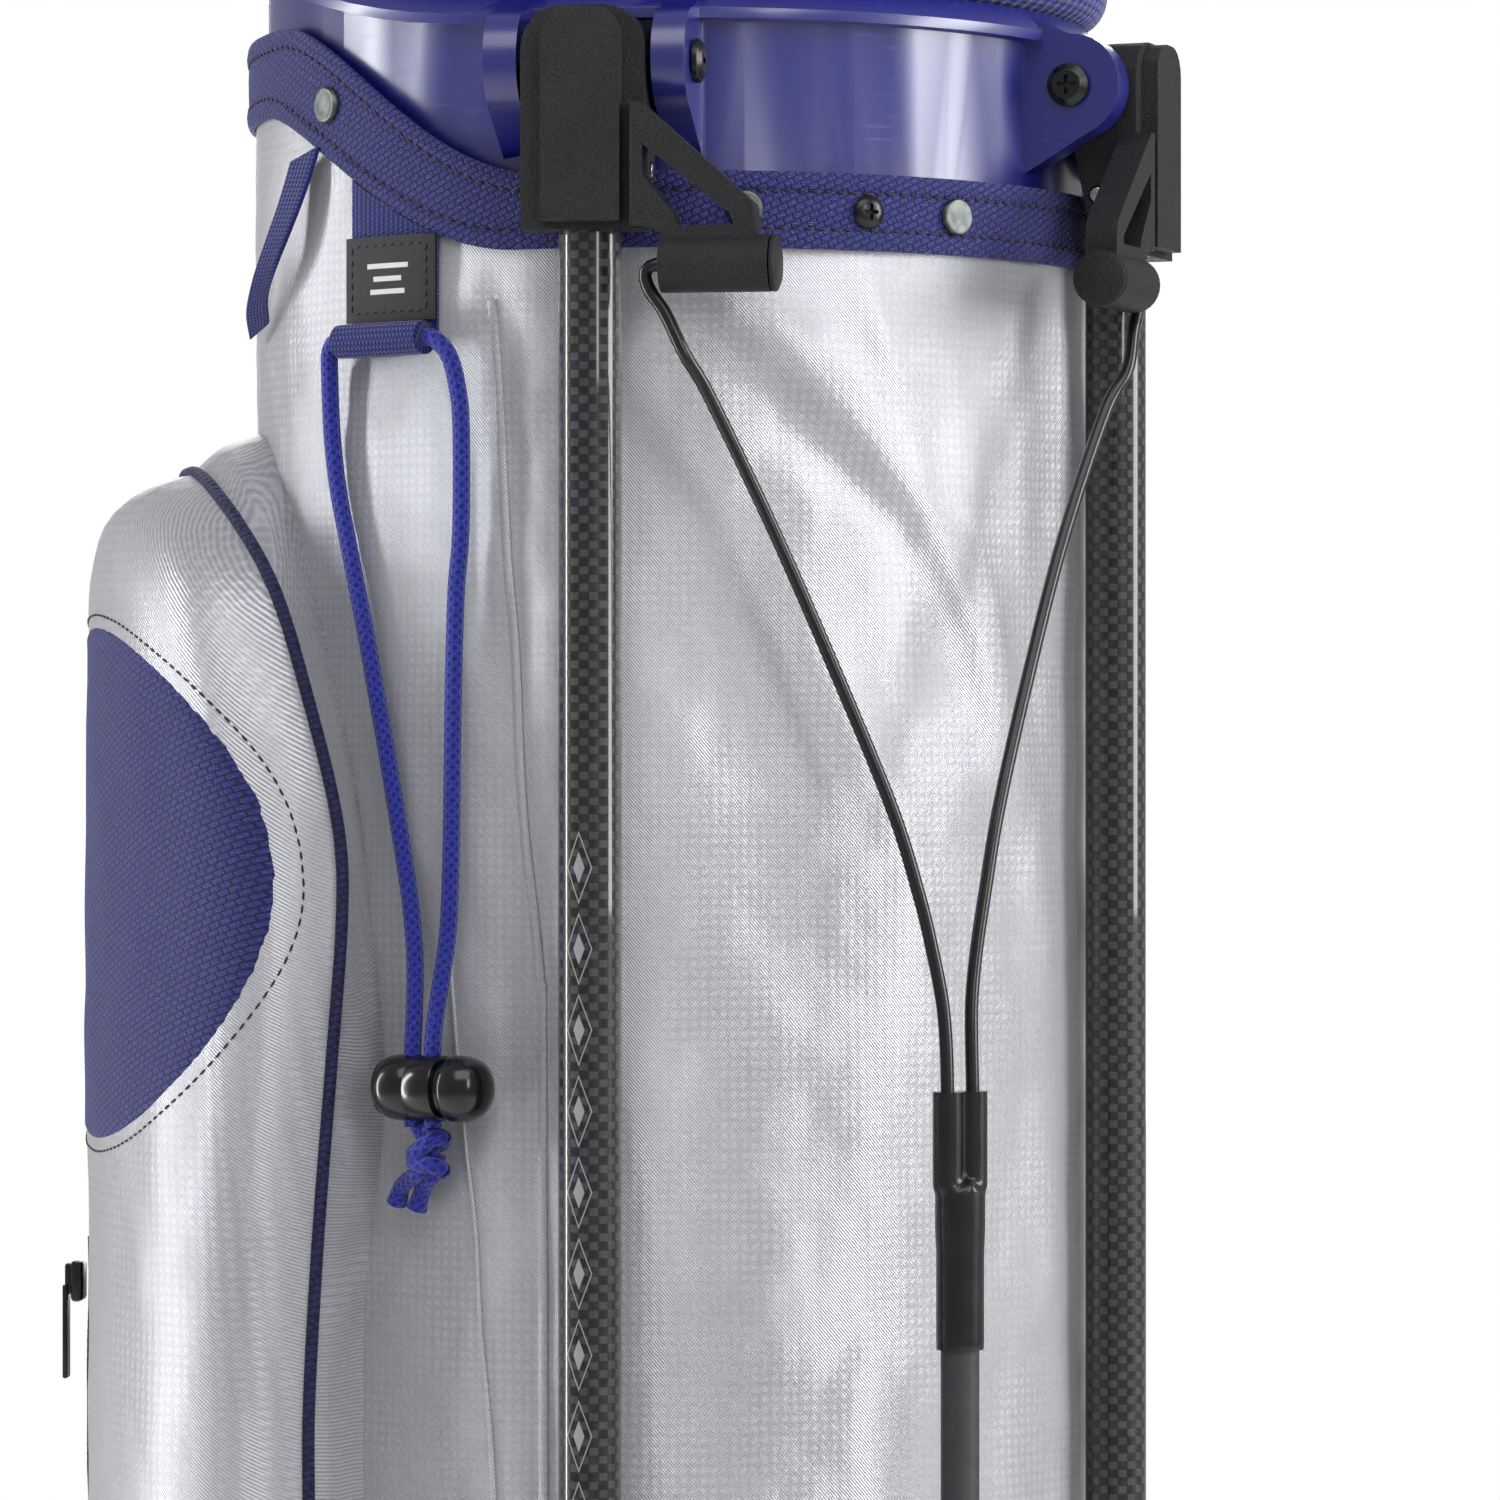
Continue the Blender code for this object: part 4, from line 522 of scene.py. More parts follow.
# ---------------------------------------------------------------- fabric tube
# The bag's wall is one sheet of silver-coated ripstop, sewn into a tube and pulled over the collar
# and the base cup. It hangs in soft slanting folds between the legs and has a felled seam on each side.
BODY_BOTTOM = 0.045
# Silver ripstop colours: its mid tone, a painted highlight colour for the tops of the picks and a painted
# shade colour for the weave's low places.
SILVER = (0.53, 0.53, 0.56, 1.0)
SILVER_HIGHLIGHT = (0.74, 0.74, 0.76, 1.0)
SILVER_SHADE = (0.33, 0.33, 0.37, 1.0)
CELL = 2.4
TWILL = 0.78
# Folds as lines of (angle, height), each with its height in millimetres and half-width in millimetres
FOLDS = (
    (2.3, 7.0, ((-22.0, 0.786), (-20.0, 0.776), (-8.5, 0.755), (-0.8, 0.738), (8.8, 0.717), (14.8, 0.699),
        (21.0, 0.660))),
    (-2.6, 8.0,
        ((-28.0, 0.770), (-21.5, 0.757), (-13.0, 0.742), (-0.8, 0.7235), (6.0, 0.703), (13.0, 0.672))),
    (0.9, 7.0, ((-24.0, 0.752), (-19.0, 0.746), (-8.5, 0.728), (1.0, 0.713), (6.0, 0.690))),
    (0.9, 6.0, ((31.0, 0.784), (32.7, 0.779), (36.5, 0.742), (37.5, 0.700))),
    (0.8, 4.5, ((-5.5, 0.785), (-4.1, 0.780), (-0.8, 0.764), (3.0, 0.752))),
    (1.2, 8.0, ((-12.0, 0.705), (-8.5, 0.685), (-0.8, 0.6575), (4.1, 0.632), (7.0, 0.600))),
    (-1.5, 14.0,
        ((-33.2, 0.750), (-30.0, 0.715), (-23.9, 0.685), (-16.6, 0.658), (-13.0, 0.620), (-12.0, 0.560))),
    (-0.9, 8.0, ((5.6, 0.776), (15.2, 0.748), (20.2, 0.714), (22.5, 0.680))),
    (-0.8, 7.0, ((27.1, 0.778), (28.9, 0.749), (27.1, 0.714), (25.5, 0.670))),
    (1.0, 7.0, ((-83.5, 0.765), (-81.0, 0.748), (-72.4, 0.714), (-68.2, 0.680), (-65.7, 0.644))),
    (-1.3, 6.0,
        ((-57.5, 0.775), (-56.3, 0.747), (-54.9, 0.713), (-52.0, 0.680), (-50.0, 0.600), (-49.0, 0.480))),
    (1.0, 9.0, ((-33.5, 0.600), (-33.5, 0.585), (-31.0, 0.538), (-32.3, 0.495), (-31.0, 0.40))),
    (1.1, 8.0, ((24.0, 0.660), (27.1, 0.631), (29.8, 0.558), (32.7, 0.488), (33.0, 0.40))),
    (-1.2, 13.0, ((14.0, 0.640), (16.0, 0.560), (15.0, 0.470), (17.0, 0.360))),
    (0.9, 10.0, ((-4.0, 0.600), (-1.0, 0.540), (-3.0, 0.450), (0.0, 0.330))),
)
# The felled seam beside the left leg and the one under the drawcord: angle, height
LEG_SEAM = (
    (-52.3, 0.786), (-52.3, 0.775), (-51.3, 0.751), (-50.1, 0.714), (-49.1, 0.690), (-48.2, 0.655),
    (-46.4, 0.625),
    (-45.7, 0.607), (-45.5, 0.560), (-45.5, 0.050),
)
CORD_SEAM = ((-60.0, 0.640), (-58.3, 0.599), (-56.8, 0.572), (-55.6, 0.554), (-54.7, 0.529), (-53.0, 0.490),
    (-52.0, 0.420))


def smooth_step(value):
    """0 below 0, 1 above 1, and a smooth rise between."""
    value = min(max(value, 0.0), 1.0)
    return value * value * (3.0 - 2.0 * value)


# The band's edges: their drop below the leg pivots in front, and how far they climb to the back
BAND_TOP_DROP, BAND_TOP_CLIMB = 0.025, 0.0405
BAND_BOTTOM_DROP, BAND_BOTTOM_CLIMB = 0.0432, 0.038


def band_top(angle):
    return PIVOT_HEIGHT - BAND_TOP_DROP + BAND_TOP_CLIMB * smooth_step((abs(angle) - 47.0) / 46.0)


def band_bottom(angle):
    return PIVOT_HEIGHT - BAND_BOTTOM_DROP + BAND_BOTTOM_CLIMB * smooth_step((abs(angle) - 50.0) / 50.0)


def cloth_line(points):
    """A line on the unrolled cloth, in metres."""
    return [(math.radians(angle) * BODY_RADIUS, height) for angle, height in points]


def reach_to(line, s, z):
    """Distance from a place on the unrolled cloth to a line, and how far along it, 0 to 1."""
    best, share = 9.0, 0.0
    for i, ((s0, z0), (s1, z1)) in enumerate(zip(line, line[1:])):
        ds, dz = s1 - s0, z1 - z0
        t = min(max(((s - s0) * ds + (z - z0) * dz) / (ds * ds + dz * dz), 0.0), 1.0)
        away = math.hypot(s - s0 - ds * t, z - z0 - dz * t)
        if away < best:
            best, share = away, (i + t) / (len(line) - 1)
    return best, share


FOLD_LINES = [(rise / 1000, half / 1000, cloth_line(points)) for rise, half, points in FOLDS]
LEG_SEAM_LINE = cloth_line(LEG_SEAM)


def fold_rise(angle, z):
    """How far the cloth stands out from its cylinder, in metres."""
    s = math.radians(angle) * BODY_RADIUS
    rise = 0.0
    for height, half, line in FOLD_LINES:
        if not min(p[0] for p in line) - 3 * half < s < max(p[0] for p in line) + 3 * half:
            continue
        away, share = reach_to(line, s, z)
        if away < 3 * half:
            fade = math.sin(math.pi * min(max(share * 0.92 + 0.04, 0), 1)) ** 0.5
            rise += height * math.exp(-((away / half) ** 2)) * fade
    away, share = reach_to(LEG_SEAM_LINE, s, z)
    if away < 0.02:
        rise -= 0.0011 * math.exp(-((away / 0.0045) ** 2))
    a = math.radians(angle)
    seat = Vector((math.sin(a) * 2.6, -math.cos(a) * 2.6, z * 7.0))
    rise += 0.0011 * noise.noise(seat) + 0.0007 * noise.noise(seat * 2.3 + Vector((3.0, 1.0, z * 14.0)))
    rise += 0.00022 * noise.noise(Vector((s * 160.0, z * 110.0, 2.0)))
    held = smooth_step((band_bottom(angle) - z) / 0.022) * smooth_step((z - BODY_BOTTOM) / 0.03)
    return min(rise * held * 1.18, 0.0018)


def unrolled(place, scale=1000.0):
    """Distance round the bag and height of a point, in millimetres."""
    x, y, z = place.parts()
    return x.math("ARCTAN2", y * -1.0) * (BODY_RADIUS * scale), z * scale


def weave_of(place, cell=CELL):
    """Relief of the ripstop: small square cells filled with slanting picks."""
    s, z = unrolled(place)
    warp = (s / cell).wave()
    weft = (z / cell).wave()
    picks = ((s + z * 0.85) / TWILL).wave()
    cells = warp * weft
    drift = place.streaks((60.0, 60.0, 26.0))
    plain = drift.between(0.42, 0.6)
    relief = picks * (plain * 0.20 + 0.44) + cells * (0.42 - plain * 0.26)
    fuzz = place.noise(1400.0, 1.0)
    return relief, cells, picks, fuzz


def silver_finish(name="silver_ripstop", dark=SILVER_SHADE, mid=SILVER, highlight=SILVER_HIGHLIGHT):
    """Silver-coated ripstop: a soft metallic sheen over a fine weave, a little uneven."""
    material, place = new_finish(name, Metallic=0.42, Sheen_Weight=0.12, Sheen_Roughness=0.35,
        Specular_IOR_Level=0.6)
    relief, cells, picks, fuzz = weave_of(place)
    cloud = place.noise(9.0, 3.0)
    # Painted shade: the weave's low places are mixed towards the shade colour, varied by random fuzz and
    # cloud tone.
    tone = relief * 0.50 + fuzz * 0.25 + cloud * 0.34
    colour = tone.between(0.15, 0.66).mix(dark, mid)
    # Painted highlight: the tops of the slanting picks, where the fuzz lets them, are mixed towards the pale
    # highlight colour.
    colour = (picks.between(0.55, 1.0) * fuzz.between(0.40, 0.75) * 0.30).mix(colour, highlight)
    return dress(material, colour, fuzz * 0.20 + 0.25, relief * 0.9 + fuzz * 0.3, 0.00017)


silver_ripstop = silver_finish()


def tube_cloth():
    """The whole wall: outer side with its folds, and a narrow hem turned in at the top and at the bottom."""
    around_steps, up_steps = 336, 290

    def place(u, v):
        angle = -180.0 + 360.0 * u
        top = band_top(angle) - 0.005
        z = BODY_BOTTOM + 0.0002 + (top - BODY_BOTTOM - 0.0002) * v
        return around(angle, BODY_RADIUS + fold_rise(angle, z), z)

    bm = surface(around_steps, up_steps, place)
    bmesh.ops.recalc_face_normals(bm, faces=bm.faces[:])
    rim = [e for e in bm.edges if e.is_boundary]
    grown = bmesh.ops.extrude_edge_only(bm, edges=rim)["geom"]
    for vert in (g for g in grown if isinstance(g, bmesh.types.BMVert)):
        flat = Vector((vert.co.x, vert.co.y, 0)).normalized() * (BODY_RADIUS - 0.0022)
        vert.co = Vector((flat.x, flat.y, vert.co.z))
    return piece("bag_cloth", bm, silver_ripstop, "bag", "silver_fabric", "bag_body", outwards=False)


tube_cloth()


def on_cloth(line, spacing, lift, rise_of=fold_rise):
    """Points along a line of (angle, height) on the cloth, this far above it."""
    route = smooth_route([Vector((angle * 0.001, height, 0)) for angle, height in line], spacing)
    return [around(p.x * 1000, BODY_RADIUS + rise_of(p.x * 1000, p.y) + lift, p.y) for p in route]


def welt(name, line, width, height):
    """A narrow raised fold of cloth along a seam: a flattened tube lying on the wall."""
    route = on_cloth(line, 0.004, 0.0001)
    last = len(route) - 1

    def place(u, v):
        i = round(v * last)
        way = (route[min(i + 1, last)] - route[max(i - 1, 0)]).normalized()
        out = Vector((route[i].x, route[i].y, 0)).normalized()
        side = way.cross(out).normalized()
        turn = math.tau * u
        return route[i] + side * (width / 2 * math.cos(turn)) + out * (height * math.sin(turn))

    return piece(name, capped(surface(10, last, place)), silver_ripstop, "bag", "silver_fabric")


welt("leg_seam_welt", [(a - 0.9, z) for a, z in LEG_SEAM[1:]], 0.0026, 0.0007)
welt("cord_seam_welt", CORD_SEAM, 0.0015, 0.0008)


# ---------------------------------------------------------------- reinforcing band
# Heavy navy duck woven in slanting blocks, wrapped over the cloth's upper edge. Both its edges are
# bound, stitched with dark thread 4 mm in, and it is held to the collar by domed rivets and a screw.
BAND_INSIDE = BODY_RADIUS + 0.0003
BAND_RADIUS = BAND_INSIDE + 0.0017
BINDING = 0.0046
DUCK_BLOCK, DUCK_ROW = 2.5, 1.55
STITCH_STEP = 3.3
# Navy duck colours: its mid tone, a painted highlight colour for the tops of the blocks and a painted shade
# colour between them.
NAVY = (0.020, 0.023, 0.190, 1.0)
NAVY_HIGHLIGHT = (0.125, 0.140, 0.47, 1.0)
NAVY_SHADE = (0.004, 0.005, 0.035, 1.0)
THREAD = (0.003, 0.003, 0.012, 1.0)
RIVET_PLACES = (("band_rivet_1", -80.0), ("band_rivet_2", -20.4), ("band_rivet_3", 9.0),
    ("band_rivet_4", 80.0))
SCREW_PLACE = -4.2


def duck_finish(name="navy_duck", shade=NAVY_SHADE, mid=NAVY, highlight=NAVY_HIGHLIGHT):
    """Coarse slanting basket weave: blocks of three or four short parallel yarns."""
    material, place = new_finish(name, Sheen_Weight=0.15, Sheen_Roughness=0.4, Specular_IOR_Level=0.35)
    s, z = unrolled(place)
    p = s * 0.90 + z * 0.43
    q = z * 0.90 - s * 0.43
    shift = p / DUCK_BLOCK + (q / DUCK_ROW).math("FLOOR") * 0.5
    block = shift.from_middle().between(0.5, 0.34) * (q / DUCK_ROW).from_middle().between(0.52, 0.25)
    yarns = ((p * 0.55 + q * 1.0) / 0.62).wave()
    fuzz = place.noise(2200.0, 1.0)
    relief = block * (0.55 + yarns * 0.45)
    # Painted shade: the low places between the blocks and yarns are mixed towards the shade colour.
    colour = (relief + fuzz * 0.2).between(0.15, 0.95).mix(shade, mid)
    # Painted highlight: the raised tops of the blocks, where the fuzz lets them, are mixed towards the pale
    # highlight colour.
    colour = (relief.between(0.6, 1.0) * fuzz.between(0.45, 0.8)).mix(colour, highlight)
    return dress(material, colour, fuzz * 0.25 + 0.50, relief + fuzz * 0.2, 0.0003)


navy_duck = duck_finish()
dark_thread, thread_place = new_finish("dark_thread", Base_Color=THREAD, Roughness=0.75, Sheen_Weight=0.2)
dress(dark_thread, None, None, thread_place.noise(3000.0), 0.0001)


def band_cloth():
    """The band's cross-section goes round both bound edges; it is widest in radius at the bindings."""
    section = (
        (0.0, 0.35), (0.0, 0.75), (0.0012, 1.05), (0.0030, 1.22), (BINDING - 0.0008, 1.18), (BINDING, 0.80),
        (BINDING + 0.0006, 0.90), (BINDING + 0.004, 0.97),
    )

    def place(u, v):
        angle = -180.0 + 360.0 * u
        low, high = band_bottom(angle), band_top(angle)
        rows = [(low + rise, out) for rise, out in section]
        rows += [(high - rise, out) for rise, out in reversed(section)]
        rows += [(high, 0.0), (low, 0.0)]
        z, out = rows[round(v * len(rows)) % len(rows)]
        wobble = 0.00012 * noise.noise(Vector((angle * 0.9, z * 400.0, 0.0)))
        return around(angle, BAND_INSIDE + (BAND_RADIUS - BAND_INSIDE) * out + (wobble if out > 0.5 else 0),
            z)

    bm = surface(400, len(section) * 2 + 2, place)
    return piece("band_cloth", bm, navy_duck, "bag", "navy_fabric", "collar_band", crease=50)


band_cloth()


def stitches(name, places, body, slot, material=dark_thread, size=0.00036, length=0.0025):
    """A row of stitches, each a short thread that dips into the cloth at both ends: (place, way, out)."""
    bm = bmesh.new()
    for place, way, out in places:
        side = way.cross(out)
        turn = Matrix((side * size, out * size, way * (length / 2))).transposed().to_4x4()
        turn.translation = place
        bmesh.ops.create_icosphere(bm, subdivisions=1, radius=1.0, matrix=turn)
    return piece(name, bm, material, body, slot, crease=180)


def stitched_line(route, step, lift=0.0):
    """Places for stitches along a route whose points stand off the bag's axis."""
    even = smooth_route(route, step)
    found = []
    for a, b in zip(even, even[1:]):
        way = (b - a).normalized()
        middle = (a + b) / 2
        out = Vector((middle.x, middle.y, 0)).normalized()
        out = (out - way * out.dot(way)).normalized()
        found.append((middle + out * lift, way, out))
    return found


band_rows = []
for edge, way in ((band_bottom, 1), (band_top, -1)):
    ring = [around(a, BAND_RADIUS - 0.0001, edge(a) + way * (BINDING + 0.0001)) for a in range(-180, 181, 3)]
    band_rows += stitched_line(ring, STITCH_STEP / 1000)
stitches("band_stitching", band_rows, "bag", "navy_fabric")


# ---------------------------------------------------------------- fasteners in the band
# Nickel rivets with a plain, slightly domed cap and a rolled rim, and one black cross-head screw.
NICKEL = (0.165, 0.178, 0.172, 1.0)


def fastener(name, node, angle, profile, material, slot, cross=0.0):
    """A turned head on the band, profile as (radius, height) from the middle outwards."""
    bm = turned(profile, 40)
    if cross:
        cross_recess(bm, cross, profile[0][1])
    z = (band_top(angle) + band_bottom(angle)) / 2
    turn = Matrix.Translation(around(angle, BAND_RADIUS + 0.0003, z)) @ Matrix.Rotation(math.radians(angle),
        4, "Z")
    bmesh.ops.transform(bm, matrix=turn @ Matrix.Rotation(math.pi / 2, 4, "X"), verts=bm.verts[:])
    return piece(name, bm, material, "bag", slot, node, crease=40)


def cross_recess(bm, reach, top):
    """Presses a cross-shaped recess into the top of a turned head."""
    half = reach * 0.2
    for normal, offset in (((1, 0, 0), half), ((1, 0, 0), -half), ((0, 1, 0), half), ((0, 1, 0), -half),
                           ((1, 0, 0), reach), ((1, 0, 0), -reach), ((0, 1, 0), reach), ((0, 1, 0), -reach)):
        whole = bm.verts[:] + bm.edges[:] + bm.faces[:]
        bmesh.ops.bisect_plane(bm, geom=whole, plane_co=Vector(normal) * offset, plane_no=normal)
    hole = []
    for face in bm.faces:
        c = face.calc_center_median()
        inside = min(abs(c.x), abs(c.y)) < half and max(abs(c.x), abs(c.y)) < reach
        if inside and c.z > top * 0.45:
            hole.append(face)
    pushed = bmesh.ops.extrude_face_region(bm, geom=hole)["geom"]
    bmesh.ops.delete(bm, geom=hole, context="FACES")
    bmesh.ops.translate(bm, vec=(0, 0, -reach * 0.7),
        verts=[g for g in pushed if isinstance(g, bmesh.types.BMVert)])


nickel = metal_finish("nickel_plate", NICKEL, 0.36, (0.085, 0.092, 0.09, 1.0))
blackened, black_place = new_finish(
    "blackened_steel", Base_Color=(0.010, 0.010, 0.011, 1), Metallic=0.4, Specular_IOR_Level=0.7
)
dress(blackened, None, black_place.noise(900.0) * 0.25 + 0.16, black_place.noise(1500.0), 0.00003)
RIVET_PROFILE = (
    (0.0, 0.00135), (0.0020, 0.00128), (0.0033, 0.00112), (0.00365, 0.00118), (0.0041, 0.00105),
    (0.0044, 0.0006),
    (0.00445, 0.0), (0.0040, -0.00025),
)
for rivet, rivet_angle in RIVET_PLACES:
    fastener(rivet + "_cap", rivet, rivet_angle, RIVET_PROFILE, nickel, "steel")
SCREW_PROFILE = ((0.0, 0.0018), (0.0016, 0.00172), (0.0027, 0.0014), (0.0036, 0.0008), (0.0040, 0.0),
    (0.0036, -0.0002))
fastener("band_screw", "collar_screw", SCREW_PLACE, SCREW_PROFILE, blackened, "coated_steel", cross=0.0019)


# ---------------------------------------------------------------- collar
# One glossy royal-blue moulding with a rolled lip and two ears for each leg. Its edges are
# rounded by the mould, and its wide faces are slightly rippled where the plastic shrank.
COLLAR_BLUE = (0.004, 0.007, 0.15, 1.0)
COLLAR_BLUE_PALE = (0.009, 0.014, 0.20, 1.0)


def copied(node, flat=1.0):
    """A CAD node's mesh as a bmesh with its corners joined and its flat faces whole."""
    bm = bmesh.new()
    bm.from_mesh(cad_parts[node].data)
    bmesh.ops.remove_doubles(bm, verts=bm.verts[:], dist=0.00002)
    bmesh.ops.dissolve_limit(bm, angle_limit=math.radians(flat), verts=bm.verts[:], edges=bm.edges[:])
    return bm


def softened(obj, width, segments=2, limit=32):
    """Rounds a piece's edges, as a mould does."""
    bevel = obj.modifiers.new("rounded", "BEVEL")
    bevel.width = width
    bevel.segments = segments
    bevel.limit_method = "ANGLE"
    bevel.angle_limit = math.radians(limit)
    bevel.use_clamp_overlap = True
    bevel.harden_normals = True
    return obj


def moulding(name, node, material, body, slot, width, segments=2, limit=32):
    """A CAD node's own shape as a finished piece with rounded edges."""
    whole = piece(name, copied(node), material, body, slot, node, outwards=False)
    return softened(whole, width, segments, limit)


def collar_finish():
    """Glossy moulded plastic with faint ripples and a few fine scuffs."""
    material, place = new_finish("royal_blue_plastic", Coat_Weight=0.85, Coat_Roughness=0.24,
        Specular_IOR_Level=0.7)
    ripple = place.noise(28.0, 2.0)
    grain = place.noise(1800.0, 1.0)
    scuff = place.streaks((90.0, 90.0, 900.0), 2.0).between(0.62, 0.75)
    colour = (ripple * 0.6 + scuff * 0.4).between(0.2, 0.8).mix(COLLAR_BLUE, COLLAR_BLUE_PALE)
    return dress(material, colour, grain * 0.08 + scuff * 0.10 + 0.30, ripple * 3.0 + grain * 0.25, 0.00005)


royal_plastic = collar_finish()
moulding("collar_moulding", "collar", royal_plastic, "bag", "collar_plastic", 0.0007, 3)


# ---------------------------------------------------------------- cuff
# Padded roll round the mouth in a tubular rib knit: every rib is a column of small chain loops.
CUFF_RADIUS = 0.0095
CUFF_CENTRE = 0.0990
CUFF_RIBS = 150
# Knit colours: its mid blue, a painted shade colour for the grooves and a painted highlight colour for the
# tops of the loops.
CUFF_BLUE = (0.010, 0.018, 0.27, 1.0)
CUFF_SHADE = (0.003, 0.005, 0.07, 1.0)
CUFF_HIGHLIGHT = (0.06, 0.09, 0.52, 1.0)


def lip_rise(angle):
    return 0.028 * smooth_step((abs(angle) - 55.0) / 75.0)


def cuff_roll():
    per_rib = 4
    rows = 26
    height = PIVOT_HEIGHT + 0.019 + 0.0003 + CUFF_RADIUS

    def place(u, v):
        angle = -180.0 + 360.0 * u
        turn = math.tau * v
        rib = 0.5 + 0.5 * math.cos(math.tau * u * CUFF_RIBS)
        radius = CUFF_RADIUS - 0.0005 + 0.0011 * rib ** 0.7
        return around(angle, CUFF_CENTRE + radius * math.sin(turn),
            height + lip_rise(angle) + radius * math.cos(turn))

    bm = surface(CUFF_RIBS * per_rib, rows, place, (CUFF_RIBS, math.tau * CUFF_RADIUS / 0.0021))
    material, uv = new_finish("rib_knit", "UV", Sheen_Weight=0.4, Sheen_Roughness=0.5, Specular_IOR_Level=0.2)
    u, v, _ = uv.parts()
    across = u.from_middle()
    loops = (v + across * 1.2).wave()
    yarn = (v * 4.0 + across * 5.0).wave()
    fuzz = uv.streaks((9.0, 9.0, 1.0))
    relief = loops * 0.8 + yarn * 0.2 + across.between(0.48, 0.30) * 0.5
    # Painted shade: the grooves between ribs and loops are mixed towards the shade colour, with random fuzz.
    colour = (relief + fuzz * 0.3).between(0.35, 1.45).mix(CUFF_SHADE, CUFF_BLUE)
    # Painted highlight: the highest tops of the loops are mixed towards the pale highlight colour.
    colour = (relief.between(1.0, 1.5) * 0.6).mix(colour, CUFF_HIGHLIGHT)
    dress(material, colour, fuzz * 0.2 + 0.62, relief, 0.0006)
    return piece("knit_cuff", bm, material, "bag", "cuff_knit", "cuff_roll", crease=180)


cuff_roll()


# ---------------------------------------------------------------- leg brackets
# Glass-filled nylon mouldings with a fine spark-eroded grain. Each turns on a screw between the
# collar's ears, is riveted to its tube, and takes the spring wire in a barrel closed by a cap.
# Grained black plastic: its black and a paler painted highlight colour for the tops of the grains.
GRAIN_BLACK = (0.005, 0.005, 0.006, 1.0)
GRAIN_HIGHLIGHT = (0.022, 0.022, 0.024, 1.0)


def grained_finish(name, dark=GRAIN_BLACK, highlight=GRAIN_HIGHLIGHT, roughness=0.42, size=1.0, depth=0.00009):
    """Black moulded plastic with an even pebble grain; the tops of the grains are painted a little paler, a
    painted highlight.
    """
    material, place = new_finish(name, Specular_IOR_Level=0.32)
    pebble = place.noise(2300.0 / size, 2.0, 0.6)
    patch = place.noise(60.0, 2.0)
    relief = pebble.between(0.35, 0.68)
    # Painted highlight: the tops of the grains are mixed towards the highlight colour; random patches also
    # shift the tone.
    colour = (relief * 0.55 + patch * 0.35).between(0.15, 0.85).mix(dark, highlight)
    return dress(material, colour, pebble * 0.22 + roughness, relief, depth)


grained_nylon = grained_finish("grained_nylon")
for side_name in ("left", "right"):
    leg_body = f"leg_{side_name}"
    moulding(f"bracket_{side_name}", f"leg_bracket_{side_name}", grained_nylon, leg_body, "black_plastic",
        0.0006, 3)
    moulding(f"barrel_cap_{side_name}", f"wire_cap_{side_name}", grained_nylon, leg_body, "black_plastic",
        0.0003)
    moulding(f"cross_rivet_{side_name}", f"leg_rivet_{side_name}", steel_finish, leg_body, "steel", 0.0005, 3)
    moulding(
        f"leg_pivot_screw_{side_name}", f"pivot_screw_{side_name}", blackened, "bag", "coated_steel",
        0.00025, limit=28,
    )


# ---------------------------------------------------------------- leg tubes and feet
# Pultruded carbon tube, 15 mm, wrapped in a coarse plain weave under clear gloss lacquer. A grey
# outlined panel of plain lozenges is printed down the front, and a rubber foot closes each end.
TUBE_RADIUS = 0.0075
TUBE_TOP = -0.0123
TUBE_BOTTOM = 0.080 - PIVOT_HEIGHT
TUBE_AT = -0.004
LEG_ANGLE = 38.9
PRINT_GREY = (0.34, 0.34, 0.36, 1.0)


def leg_frame(side_name):
    """The leg's own frame: x along its hinge, y inwards, z up from the pivot."""
    angle = -LEG_ANGLE if side_name == "left" else LEG_ANGLE
    return Matrix.Translation(around(angle, 0.113, PIVOT_HEIGHT)) @ Matrix.Rotation(math.radians(angle), 4,
        "Z")


def carbon_finish(name, marked):
    """Two-over-one carbon weave seen through a thick gloss coat."""
    material, uv = new_finish(name, "UV", Coat_Roughness=0.03, Coat_IOR=1.42, Specular_IOR_Level=0.25)
    u, v, _ = uv.parts()
    column = u / 0.00236
    shift = column.math("FLOOR")
    row = v / 0.0040 + shift * 0.5
    inside = row.from_middle()
    edge = column.from_middle()
    warp = inside.between(0.24, 0.20)
    edges = edge.between(0.50, 0.38)
    fibres = (v / 0.00030).wave() * (1 - warp) + (u / 0.00028).wave() * warp
    patch = uv.streaks((420.0, 250.0, 1.0), 0.0)
    # Painted highlight: the warp cells and the fibre lines are painted lighter, standing in for the weave's
    # changing reflection; the random patches are tone.
    tone = warp * 0.40 * edges + fibres * 0.18 + patch * 0.45
    colour = tone.between(0.12, 1.0).mix((0.004, 0.004, 0.005, 1.0), (0.060, 0.060, 0.065, 1.0))
    roughness = warp * 0.16 + 0.30
    if marked:
        middle = math.pi * TUBE_RADIUS
        across = (u - middle).math("ABSOLUTE")
        down = v / 0.0190
        inner = down.from_middle()
        outline = across / 0.0036 * 0.5 + inner
        ring = outline.between(0.405, 0.412) * outline.between(0.452, 0.445)
        core = outline.between(0.20, 0.193) * inner.between(0.21, 0.20)
        reach = v.between(0.5715, 0.5710) * v.between(0.250, 0.2505)
        mark = (ring + core).math("MINIMUM", 1.0) * reach
        colour = (mark * 0.85).mix(colour, PRINT_GREY)
    return dress(material, colour, roughness, warp * 0.5 + fibres * 0.2, 0.00006)


